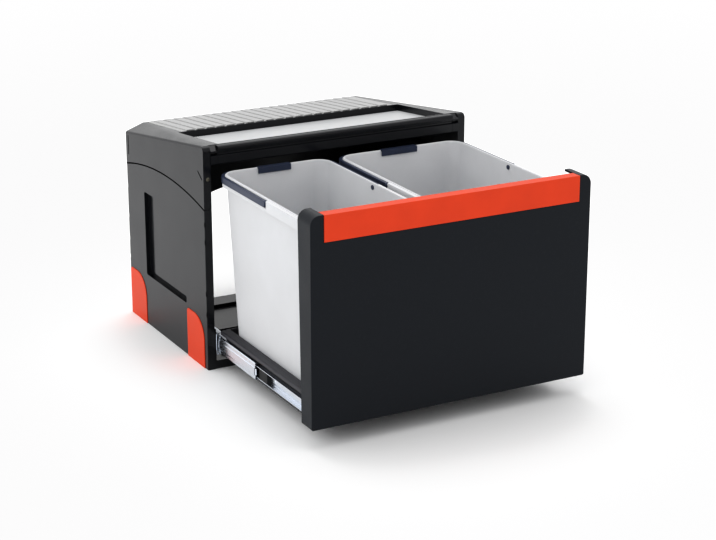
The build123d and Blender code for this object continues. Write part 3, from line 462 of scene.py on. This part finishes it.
# %% [markdown]
# ## One tree that sweeps a section and repeats it
#
# A slide member is a strip of steel with the same section all along, and the lid's mat is one rib
# repeated. Both follow one rule: a flat section is extruded along a run, closed at both ends, and
# repeated by a step. Geometry Nodes hold that rule once. Its inputs are the run, the step, the
# count and the finish, and the section is the mesh that the modifier sits on.

# %% The sweep-and-repeat tree


def named_inputs(tree, wanted):
    """Adds named inputs to a Geometry Nodes tree and gives back their identifiers."""
    tree.interface.new_socket(name="Geometry", in_out="INPUT", socket_type="NodeSocketGeometry")
    made = {}
    for label, kind in wanted.items():
        socket = tree.interface.new_socket(name=label, in_out="INPUT", socket_type=kind)
        made[label] = socket.identifier
    tree.interface.new_socket(name="Geometry", in_out="OUTPUT", socket_type="NodeSocketGeometry")
    return made


def end_tree(tree, geometry, finish):
    """Ends a tree in Realize Instances and Set Material."""
    real = add(tree, "GeometryNodeRealizeInstances", {"Geometry": geometry})
    dressed = add(tree, "GeometryNodeSetMaterial",
                  {"Geometry": real.outputs["Geometry"], "Material": finish})
    add(tree, "NodeGroupOutput", {"Geometry": dressed.outputs["Geometry"]})


def make_sweep_tree():
    tree = bpy.data.node_groups.new("sweep_and_repeat", "GeometryNodeTree")
    inputs = named_inputs(tree, {"Run": "NodeSocketVector", "Step": "NodeSocketVector",
                                 "Count": "NodeSocketInt", "Finish": "NodeSocketMaterial"})
    given = add(tree, "NodeGroupInput").outputs
    along = add(tree, "GeometryNodeExtrudeMesh",
                {"Mesh": given["Geometry"], "Offset": given["Run"]},
                {"Offset Scale": 1.0, "Individual": False}, mode="FACES")
    start = add(tree, "GeometryNodeFlipFaces", {"Mesh": given["Geometry"]})
    both = add(tree, "GeometryNodeJoinGeometry")
    tree.links.new(start.outputs["Mesh"], both.inputs["Geometry"])
    tree.links.new(along.outputs["Mesh"], both.inputs["Geometry"])
    closed = add(tree, "GeometryNodeMergeByDistance", {"Geometry": both.outputs["Geometry"]},
                 {"Distance": MERGE_DISTANCE})
    places = add(tree, "GeometryNodeMeshLine", {"Count": given["Count"], "Offset": given["Step"]})
    copies = add(tree, "GeometryNodeInstanceOnPoints",
                 {"Points": places.outputs["Mesh"], "Instance": closed.outputs["Geometry"]})
    end_tree(tree, copies.outputs["Instances"], given["Finish"])
    return tree, inputs


sweep_tree, sweep_inputs = make_sweep_tree()
print("sweep tree:", len(sweep_tree.nodes), "nodes")

# %% Using the tree


def section_mesh(name, points):
    """A flat face from points, its corners in order."""
    mesh = bpy.data.meshes.new(name)
    mesh.from_pydata([Vector(p) for p in points], [], [tuple(range(len(points)))])
    return mesh


def with_nodes(piece, tree, inputs, values):
    """Runs a Geometry Nodes tree on a piece and turns the result into a plain mesh."""
    modifier = piece.modifiers.new("nodes", "NODES")
    modifier.node_group = tree
    for label, value in values.items():
        modifier[inputs[label]] = value
    return apply_modifiers(piece)


def swept(name, points, run, finish, step=(0, 0, 0), count=1):
    """A section swept along a run, and repeated."""
    piece = new_piece(name, section_mesh(name, points))
    with_nodes(piece, sweep_tree, sweep_inputs,
               {"Run": run, "Step": step, "Count": count, "Finish": FINISHES[finish]})
    mark_edges(piece.data, recalculate=True)
    return piece


def joined(name, *pieces):
    """Joins the meshes of pieces into one new piece."""
    work = bmesh.new()
    for piece in pieces:
        work.from_mesh(piece.data)
    mesh = bpy.data.meshes.new(name)
    work.to_mesh(mesh)
    work.free()
    for piece in pieces:
        bpy.data.objects.remove(piece)
    return new_piece(name, mesh)


print("inputs of the sweep:", ", ".join(sweep_inputs))

# %% [markdown]
# ## The ribbed mat
#
# The rear half of the lid is a pale mat with flat-topped ribs that run from front to back, so
# that what is put down there doesn't slip. Each rib is a low bar with rounded shoulders. One
# section with the rib's outline is swept down the slope of the lid and repeated across it.

# %% Mat
RIB_PITCH = 17.0 * MM
RIB_WIDTH = 13.0 * MM
RIB_HEIGHT = 1.6 * MM
RIB_SHOULDER = 0.9 * MM
SHOULDER_STEPS = 4
PLATE_DEPTH = 1.0 * MM
PLATE_OVERLAP = 0.1 * MM
LID_FALL = 34.0 / 304.0


def rib_outline():
    """A rib's section as X and Z, with rounded upper corners."""
    half, shoulder = RIB_WIDTH / 2, RIB_SHOULDER
    points = [(half, 0)]
    for side in (1, -1):
        for index in range(SHOULDER_STEPS + 1):
            turn = math.pi / 2 * index / SHOULDER_STEPS
            across, up = math.cos(turn), math.sin(turn)
            if side < 0:
                across, up = up, across
            points.append((side * (half - shoulder + shoulder * across),
                           RIB_HEIGHT - shoulder + shoulder * up))
    points.append((-half, 0))
    return points


def make_mat():
    low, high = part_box("ribbed_mat")
    crown = high[2] - RIB_HEIGHT
    count = int((high[0] - low[0]) // RIB_PITCH)
    first = -RIB_PITCH * (count - 1) / 2
    run = (0, high[1] - low[1], -LID_FALL * (high[1] - low[1]))
    rib = [(first + x, low[1], crown + z) for x, z in rib_outline()]
    ribs = swept("ribs", rib, run, "pale_plastic", (RIB_PITCH, 0, 0), count)
    under, over = crown - PLATE_DEPTH, crown + PLATE_OVERLAP
    plate = [(x, low[1], z) for x, z in
             ((high[0], under), (high[0], over), (low[0], over), (low[0], under))]
    mat = joined("ribbed_mat_moulded", ribs, swept("plate", plate, run, "pale_plastic"))
    dress(mat, "housing", "pale_plastic", "ribbed_mat")
    print("ribs:", count, "faces:", len(mat.data.polygons))


make_mat()

# %% [markdown]
# ## The slides
#
# A telescopic slide is folded from strip steel by rollers, so its corners are bends, not edges,
# and a bead runs along the web to stiffen it. The section is drawn as the path of the strip's
# middle, in millimetres from the slide's back and its centre line. Its corners are rounded, and
# the path is then given the strip's thickness on both sides. The left members are drawn, and the
# right ones are their mirror image.

# %% The folded section
STRIP = 1.2 * MM
BEND_STEPS = 5
# A bend takes just under half of the shorter run beside it, so that two bends never meet.
RUN_PARTS = 2.01


def rounded_path(points, radius):
    """A path of 2-D points with each inner corner turned into a bend."""
    path = [Vector(points[0])]
    for before, corner, after in zip(points, points[1:], points[2:]):
        corner = Vector(corner)
        back, ahead = Vector(before) - corner, Vector(after) - corner
        half = back.angle(ahead) / 2
        reach = min(radius / math.tan(half), min(back.length, ahead.length) / RUN_PARTS)
        start, end = corner + back.normalized() * reach, corner + ahead.normalized() * reach
        for index in range(BEND_STEPS + 1):
            share = index / BEND_STEPS
            path.append(start.lerp(corner, share).lerp(corner.lerp(end, share), share))
    path.append(Vector(points[-1]))
    return path


def strip_outline(path, thickness):
    """The closed outline of a strip whose middle follows a path."""
    left, right = [], []
    for index, point in enumerate(path):
        before = path[max(index - 1, 0)]
        after = path[min(index + 1, len(path) - 1)]
        ahead = (after - before).normalized()
        aside = Vector((-ahead.y, ahead.x)) * thickness / 2
        left.append(point + aside)
        right.append(point - aside)
    return left + right[::-1]


def bent_strip(path_mm, radius_mm, thickness):
    """The outline of a bent strip from the corners of its path, in millimetres."""
    corners = [(u * MM, w * MM) for u, w in path_mm]
    return strip_outline(rounded_path(corners, radius_mm * MM), thickness)


print("points round one folded corner:", len(bent_strip([(0, 0), (9, 0), (9, 9)], 1.5, STRIP)))

# %% Slide members
SLIDE_CENTRE_Z = 39.5 * MM
SLIDE_BACK_X = -208.5 * MM
MIRROR = {"left": 1, "right": -1}
# Each member: its path, the radius of its bends in millimetres and the body that it moves with.
MEMBERS = {
    "outer": ([(10.5, -16.9), (0.6, -16.9), (0.6, 16.9), (10.5, 16.9)], 1.5, "housing"),
    "middle": ([(10.9, -12.8), (3.7, -12.8), (3.7, -6.6), (3.0, -5.4), (3.0, 5.4), (3.7, 6.6),
                (3.7, 12.8), (10.9, 12.8)], 1.6, "{}_middle"),
    "inner": ([(5.0, -8.7), (12.1, -8.7), (12.1, -4.6), (11.2, -3.4), (11.2, 3.4), (12.1, 4.6),
               (12.1, 8.7), (5.0, 8.7)], 1.4, "drawer"),
}
TONGUE_PATH = [(3.0, 2.0), (3.0, -1.2), (3.9, -2.6)]
TONGUE_BEND_MM = 1.5
TONGUE_HEIGHT = 10.0 * MM


def rolled_member(side, node, path, bend_mm):
    """One member of a slide, swept along Y over the length of its CAD piece."""
    low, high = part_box(node)
    section = [(MIRROR[side] * (SLIDE_BACK_X + p.x), low[1], SLIDE_CENTRE_Z + p.y)
               for p in bent_strip(path, bend_mm, STRIP)]
    return swept(node + "_rolled", section, (0, high[1] - low[1], 0), "zinc_steel")


def stop_tongue(side, node):
    """The turned-in tongue at the front end of the middle member."""
    front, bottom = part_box(node)[0][1], SLIDE_CENTRE_Z - TONGUE_HEIGHT / 2
    section = [(MIRROR[side] * (SLIDE_BACK_X + p.x), front + p.y, bottom)
               for p in bent_strip(TONGUE_PATH, TONGUE_BEND_MM, STRIP)]
    return swept("tongue", section, (0, 0, TONGUE_HEIGHT), "zinc_steel")


for side in MIRROR:
    for kind, (path, bend_mm, body) in MEMBERS.items():
        node = side + "_slide_" + kind
        piece = rolled_member(side, node, path, bend_mm)
        if kind == "middle":
            piece = joined(piece.name + "_stop", piece, stop_tongue(side, node))
        dress(piece, body.format(side), "zinc_steel", node)
        print(piece.name, len(piece.data.polygons), "faces")

# %% [markdown]
# ## The seam between wall and lid
#
# The lid's skirt meets the side wall along a flat arch. A dull black strip is laid in that seam as
# painted shade:
# it stands in for the shadow in the gap between the two. The arch is the circle through its two
# ends and its crown, walked in even steps. The function that gave the slides' strip its thickness
# gives the strip its width, and the sweep leaves it a fifth of a millimetre proud of the side.

# %% Seam strips of painted shade
SEAM_END_Z = 252.35 * MM
SEAM_CROWN_Z = 270.35 * MM
SEAM_WIDTH = 1.9 * MM
SEAM_END_GAP = 0.3 * MM
SEAM_SUNK = 0.4 * MM
SEAM_PROUD = 0.2 * MM
SEAM_STEPS = 40


def arch_path(half_span, end_z, crown_z):
    """Points on the circle through both ends and the crown, as Y and Z."""
    rise = crown_z - end_z
    radius = (half_span ** 2 + rise ** 2) / (2 * rise)
    turn = math.asin(half_span / radius)
    angles = [turn * (2 * index / SEAM_STEPS - 1) for index in range(SEAM_STEPS + 1)]
    return [Vector((radius * math.sin(a), crown_z - radius + radius * math.cos(a))) for a in angles]


def seam_lip(side):
    low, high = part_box("top_cover")
    path = arch_path((high[1] - low[1]) / 2 - SEAM_END_GAP, SEAM_END_Z, SEAM_CROWN_Z)
    face, inwards = (low[0], 1) if side == "left" else (high[0], -1)
    section = [(face + inwards * SEAM_SUNK, p.x, p.y) for p in strip_outline(path, SEAM_WIDTH)]
    run = (-inwards * (SEAM_SUNK + SEAM_PROUD), 0, 0)
    # Painted shade: this black strip stands in for the shadow in the seam.
    piece = swept(side + "_seam_lip", section, run, "seam_shadow_black")
    dress(piece, "housing", "buffer_rubber", finish="seam_shadow_black")
    print(piece.name, len(piece.data.polygons), "faces")


for side in MIRROR:
    seam_lip(side)

# %% [markdown]
# ## The rolled front edge
#
# The lid's front rail ends in a rolled edge, round enough for a hand. It is a thin skin that runs
# forward from the lid, curls down and tucks back under itself, so its front catches one long soft
# line of light and its end shows as a small hook.

# %% Rolled edge
ROLL_SKIN = 1.5 * MM
ROLL_BEND_MM = 3.6
ROLL_PATH = [(9.0, -0.2), (-0.4, -0.2), (-0.4, -7.4), (3.4, -7.4)]


def rolled_edge():
    low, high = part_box("front_rail")
    section = [(low[0], low[1] + p.x, high[2] + p.y)
               for p in bent_strip(ROLL_PATH, ROLL_BEND_MM, ROLL_SKIN)]
    piece = swept("rolled_edge", section, (high[0] - low[0], 0, 0), "black_plastic")
    dress(piece, "housing", "black_plastic")
    print(piece.name, len(piece.data.polygons), "faces")


rolled_edge()

# %% [markdown]
# ## The covers over the slides
#
# A dark moulded strip along each side of the tray reaches out over the slide and keeps dirt off
# the balls. Its section is a flat hook with a rounded outer edge, swept along the tray.

# %% Slide covers
COVER_TOP = 64.0 * MM
COVER_SKIN = 1.6 * MM
COVER_BEND_MM = 1.4
COVER_END_GAP = 1.5 * MM
COVER_PATH = [(1.2, -0.9), (-7.6, -0.9), (-8.8, -1.6), (-8.8, -6.0)]


def slide_cover(side):
    low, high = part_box("tray_frame")
    section = [(MIRROR[side] * (low[0] + p.x), low[1] + COVER_END_GAP, COVER_TOP + p.y)
               for p in bent_strip(COVER_PATH, COVER_BEND_MM, COVER_SKIN)]
    run = (0, high[1] - low[1] - 2 * COVER_END_GAP, 0)
    piece = swept(side + "_slide_cover", section, run, "tray_plastic")
    dress(piece, "drawer", "tray_plastic")
    print(piece.name, len(piece.data.polygons), "faces")


for side in MIRROR:
    slide_cover(side)

# %% [markdown]
# ## Balls and screws
#
# Small parts that repeat are made once and placed by a second tree, which puts a copy on each
# point of a mesh and turns it to the direction that the point carries. The points come from the
# CAD pieces themselves: each loose part of a node has a box, and that box gives its place and,
# for a screw, which way its head faces.

# %% Places of the loose parts
# Corner points further out than this share of a screw's radius belong to its head.
HEAD_EDGE = 0.95


def loose_parts(node_name):
    """The corner points of each loose part of a CAD piece."""
    work = bmesh.new()
    work.from_mesh(nodes[node_name].data)
    bmesh.ops.remove_doubles(work, verts=work.verts, dist=MERGE_DISTANCE)
    unseen, parts = dict.fromkeys(work.verts), []
    while unseen:
        reached, part = [unseen.popitem()[0]], []
        while reached:
            vert = reached.pop()
            part.append(vert.co.copy())
            for edge in vert.link_edges:
                other = edge.other_vert(vert)
                if other in unseen:
                    del unseen[other]
                    reached.append(other)
        parts.append(part)
    work.free()
    return parts


def middle_of(points):
    """The middle of the box round some points."""
    return Vector([(min(p[i] for p in points) + max(p[i] for p in points)) / 2 for i in range(3)])


def screw_place(points):
    """The top of a screw's head and the direction in which it faces."""
    middle = middle_of(points)
    sizes = [max(p[i] for p in points) - min(p[i] for p in points) for i in range(3)]
    axis = max(range(3), key=lambda i: abs(sizes[i] - sizes[i - 1]) + abs(sizes[i] - sizes[i - 2]))
    rim = (max(sizes[axis - 1], sizes[axis - 2]) / 2 * HEAD_EDGE) ** 2
    head = [p for p in points if (p - middle).length_squared - (p - middle)[axis] ** 2 > rim]
    sign = 1 if middle_of(head)[axis] > middle[axis] else -1
    outward = Vector([sign if i == axis else 0 for i in range(3)])
    return middle + outward * (sizes[axis] / 2), outward


ball_count = sum(len(loose_parts(name)) for name in nodes if name.endswith("_balls"))
print("balls:", ball_count)

# %% The scatter tree


def make_scatter_tree():
    tree = bpy.data.node_groups.new("scatter_on_points", "GeometryNodeTree")
    inputs = named_inputs(tree, {"Piece": "NodeSocketObject", "Finish": "NodeSocketMaterial"})
    given = add(tree, "NodeGroupInput").outputs
    piece = add(tree, "GeometryNodeObjectInfo", {"Object": given["Piece"]})
    facing = add(tree, "GeometryNodeInputNamedAttribute", values={"Name": "facing"},
                 data_type="FLOAT_VECTOR")
    turned = add(tree, "FunctionNodeAlignRotationToVector",
                 {"Vector": facing.outputs["Attribute"]}, axis="Z")
    copies = add(tree, "GeometryNodeInstanceOnPoints",
                 {"Points": given["Geometry"], "Instance": piece.outputs["Geometry"],
                  "Rotation": turned.outputs["Rotation"]})
    end_tree(tree, copies.outputs["Instances"], given["Finish"])
    return tree, inputs


scatter_tree, scatter_inputs = make_scatter_tree()


def scattered(name, places, tool, finish):
    """Copies of a tool piece on places, each a point and the direction that it faces."""
    mesh = bpy.data.meshes.new(name)
    mesh.from_pydata([place for place, _ in places], [], [])
    facing = mesh.attributes.new("facing", "FLOAT_VECTOR", "POINT")
    for index, (_, outward) in enumerate(places):
        facing.data[index].vector = outward
    piece = new_piece(name, mesh)
    return with_nodes(piece, scatter_tree, scatter_inputs,
                      {"Piece": tool, "Finish": FINISHES[finish]})


print("scatter tree:", len(scatter_tree.nodes), "nodes")

# %% A lathe for small parts


def turned_mesh(name, rings, count):
    """A mesh of closed rings, each a height and a function that gives the radius at an angle."""
    work = bmesh.new()
    rows = []
    for height, radius in rings:
        row = []
        for index in range(count):
            turn = 2 * math.pi * index / count
            size = radius(turn)
            row.append(work.verts.new((size * math.cos(turn), size * math.sin(turn), height)))
        rows.append(row)
    for lower, upper in zip(rows, rows[1:]):
        for index in range(count):
            after = (index + 1) % count
            work.faces.new((lower[index], lower[after], upper[after], upper[index]))
    work.faces.new(rows[0][::-1])
    work.faces.new(rows[-1])
    mesh = bpy.data.meshes.new(name)
    work.to_mesh(mesh)
    work.free()
    mark_edges(mesh, recalculate=True)
    return mesh


def circle(size_mm):
    return lambda turn: size_mm * MM


def cross(arm_mm, core_mm):
    """A ring with four lobes, as a cross recess has."""
    return lambda turn: (core_mm + (arm_mm - core_mm) * abs(math.cos(2 * turn)) ** 3) * MM


SCREW_SIDES = 24
SCREW_RINGS = [
    (-4.0 * MM, circle(1.8)), (-1.6 * MM, circle(1.8)), (-1.6 * MM, circle(3.1)),
    (-1.3 * MM, circle(3.2)), (-0.7 * MM, circle(3.05)), (-0.3 * MM, circle(2.6)),
    (-0.08 * MM, circle(2.1)), (-0.05 * MM, cross(1.7, 0.6)), (-1.0 * MM, cross(1.0, 0.4)),
]
screw_tool = new_piece("screw_tool", turned_mesh("screw_tool", SCREW_RINGS, SCREW_SIDES))

BALL_SIDES = 14
BALL_STEPS = 9
BALL_RADIUS_MM = 1.4
BALL_TURNS = [math.pi * (step + 0.25) / (BALL_STEPS - 0.5) for step in range(BALL_STEPS)]
BALL_RINGS = [(-BALL_RADIUS_MM * MM * math.cos(turn), circle(BALL_RADIUS_MM * math.sin(turn)))
              for turn in BALL_TURNS]
ball_tool = new_piece("ball_tool", turned_mesh("ball_tool", BALL_RINGS, BALL_SIDES))
print("screw faces:", len(screw_tool.data.polygons), "ball faces:", len(ball_tool.data.polygons))

# %% Screws and balls in place
UP = Vector((0, 0, 1))
for name in ("cover_screws", "outer_slide_screws", "inner_slide_screws", "bracket_screws"):
    places = [screw_place(part) for part in loose_parts(name)]
    made = scattered(name + "_headed", places, screw_tool, "zinc_steel")
    dress(made, body_of[name], "zinc_steel", name, finish=OWN_FINISH.get(name))
    print(name, len(places))
for name in [n for n in nodes if n.endswith("_balls")]:
    places = [(middle_of(part), UP) for part in loose_parts(name)]
    made = scattered(name + "_polished", places, ball_tool, "ball_steel")
    dress(made, body_of[name], "ball_steel", name)
bpy.data.objects.remove(screw_tool)
bpy.data.objects.remove(ball_tool)

# %% [markdown]
# ## The bins
#
# Each bin is a tapered tub with a collar round its rim. A section through its wall, walked all
# the way round a rounded rectangle, gives the whole tub, so it is built from rings. Each ring has
# a height, an inset from the bin's outline and a corner radius. The rear half of the collar is
# sunk by 4 mm, where the carrying bail lies when it is folded, and a notch at the back lets the
# bail's tab through. Along the inner edge of the rim runs a narrow bead, which shows as a bright
# line all the way round.

# %% The rings of a bin
RIM = 311.5 * MM
BASE = 23.3 * MM
TUB_INSET = 6.0 * MM
TAPER = 13.0 * MM
SKIN = 2.0 * MM
RIM_CORNER = 22.0 * MM
CORNER_TAPER = 4.0 * MM
COLLAR_CORNER = 28.0 * MM
# Rings in millimetres. Outside and inside, each is its height over the bin's base and how far
# the bend at the floor draws it in. On the collar, each is its height and its inset.
OUTSIDE = [(0.0, 6.0), (1.0, 2.0), (3.0, 0.6), (6.0, 0.0), (136.7, 0.0), (270.1, 0.0)]
COLLAR = [
    (293.4, 0.5), (293.6, 0.1), (294.0, 0.0), (299.2, 0.0), (299.6, 0.02), (303.0, 0.03),
    (308.8, 0.05), (309.6, 0.3), (310.0, 0.9), (310.1, 4.9), (310.5, 5.2), (311.2, 5.5),
    (311.5, 6.2), (311.5, 6.9), (311.2, 7.5), (310.4, 7.9),
]
INSIDE = [(285.7, 0.0), (136.7, 0.0), (9.0, 0.0), (4.5, 1.5), (2.5, 6.0), (2.5, 14.0)]


def wall_ring(height_mm, drawn_in_mm, wall):
    """A ring on the tub's tapered wall: its height, inset and corner radius."""
    z = BASE + height_mm * MM
    share = (RIM - z) / (RIM - BASE)
    inset = TUB_INSET + TAPER * share + wall + drawn_in_mm * MM
    return z, inset, RIM_CORNER - CORNER_TAPER * share - wall


def collar_ring(z_mm, inset_mm):
    return z_mm * MM, inset_mm * MM, COLLAR_CORNER - inset_mm * MM


def bin_rings():
    """The wall's section from under the floor, over the rim and down to the inner floor."""
    return ([wall_ring(*ring, 0.0) for ring in OUTSIDE] + [collar_ring(*ring) for ring in COLLAR]
            + [wall_ring(*ring, SKIN) for ring in INSIDE])


print("rings of a bin:", len(bin_rings()))

# %% Walking round the outline
BIN_FRONT, BIN_REAR = -455.0 * MM, -159.0 * MM
CORNER_STEPS = 9
LEAST_CORNER = 2.0 * MM
SINK = 4.0 * MM
SINK_BOTTOM = 299.5 * MM
SINK_FRONT = -326.5 * MM
NOTCH_FLOOR = 308.4 * MM
NOTCH_SPARE_MM = 0.6
# The sink and the notch begin and end within this distance to either side of their edges.
HALF_STEP = 0.15 * MM


def corner_stations(corner, turn_from):
    """Even steps round one corner, a quarter turn clockwise."""
    return [("corner", corner, turn_from - math.pi / 2 * step / CORNER_STEPS)
            for step in range(CORNER_STEPS + 1)]


def stations_round(x_from, x_to, notch):
    """Stations round the bin, each a side or corner and where it lies on it."""
    middle = (x_from + x_to) / 2
    notch_edges = [middle + side * notch + step
                   for side in (-1, 1) for step in (-HALF_STEP, HALF_STEP)]
    return (
        [("left", None, SINK_FRONT + step) for step in (-HALF_STEP, HALF_STEP)]
        + corner_stations((x_from, BIN_REAR, 1, -1), math.pi)
        + [("rear", None, x) for x in notch_edges]
        + corner_stations((x_to, BIN_REAR, -1, -1), math.pi / 2)
        + [("right", None, SINK_FRONT + step) for step in (HALF_STEP, -HALF_STEP)]
        + corner_stations((x_to, BIN_FRONT, -1, 1), 0)
        + corner_stations((x_from, BIN_FRONT, 1, 1), -math.pi / 2)
    )


def station_point(station, z, inset, radius, x_from, x_to, notch):
    """The point of a station on a ring, with the sunk rear half and the notch."""
    kind, corner, value = station
    middle = (x_from + x_to) / 2
    rear = corner[1] == BIN_REAR if corner else kind == "rear" or value > SINK_FRONT
    if rear and z > SINK_BOTTOM and inset < SINK:
        inset, radius = SINK, radius - (SINK - inset)
    if kind == "rear" and abs(value - middle) < notch:
        z = min(z, NOTCH_FLOOR)
    radius = max(radius, LEAST_CORNER)
    if kind == "left":
        return x_from + inset, value, z
    if kind == "right":
        return x_to - inset, value, z
    if kind == "rear":
        return value, BIN_REAR - inset, z
    x, y, x_in, y_in = corner
    return (x + x_in * (inset + radius) + radius * math.cos(value),
            y + y_in * (inset + radius) + radius * math.sin(value), z)


print("stations round a bin:", len(stations_round(-MM, MM, MM)))

# %% Two tubs
# Each bin: its left and right side and the width of its bail's tab, in millimetres.
BINS = {"left": (-206.0, -24.0, 53.0), "right": (-12.0, 206.0, 61.0)}


def make_bin(side, x_from_mm, x_to_mm, tab_mm):
    """A bin as rings of points, bridged into one closed skin."""
    x_from, x_to, notch = x_from_mm * MM, x_to_mm * MM, (tab_mm / 2 + NOTCH_SPARE_MM) * MM
    stations = stations_round(x_from, x_to, notch)
    work = bmesh.new()
    rows = [[work.verts.new(station_point(s, *ring, x_from, x_to, notch)) for s in stations]
            for ring in bin_rings()]
    for lower, upper in zip(rows, rows[1:]):
        for index in range(len(stations)):
            after = (index + 1) % len(stations)
            work.faces.new((lower[index], lower[after], upper[after], upper[index]))
    work.faces.new(rows[0])
    work.faces.new(rows[-1])
    mesh = bpy.data.meshes.new(side + "_bin_tub")
    work.to_mesh(mesh)
    work.free()
    mark_edges(mesh, recalculate=True)
    tub = weigh_normals(new_piece(side + "_bin_tub", mesh))
    dress(tub, side + "_bin", "bin_plastic", side + "_bin")
    print(tub.name, len(tub.data.polygons), "faces")


for side, measures in BINS.items():
    make_bin(side, *measures)
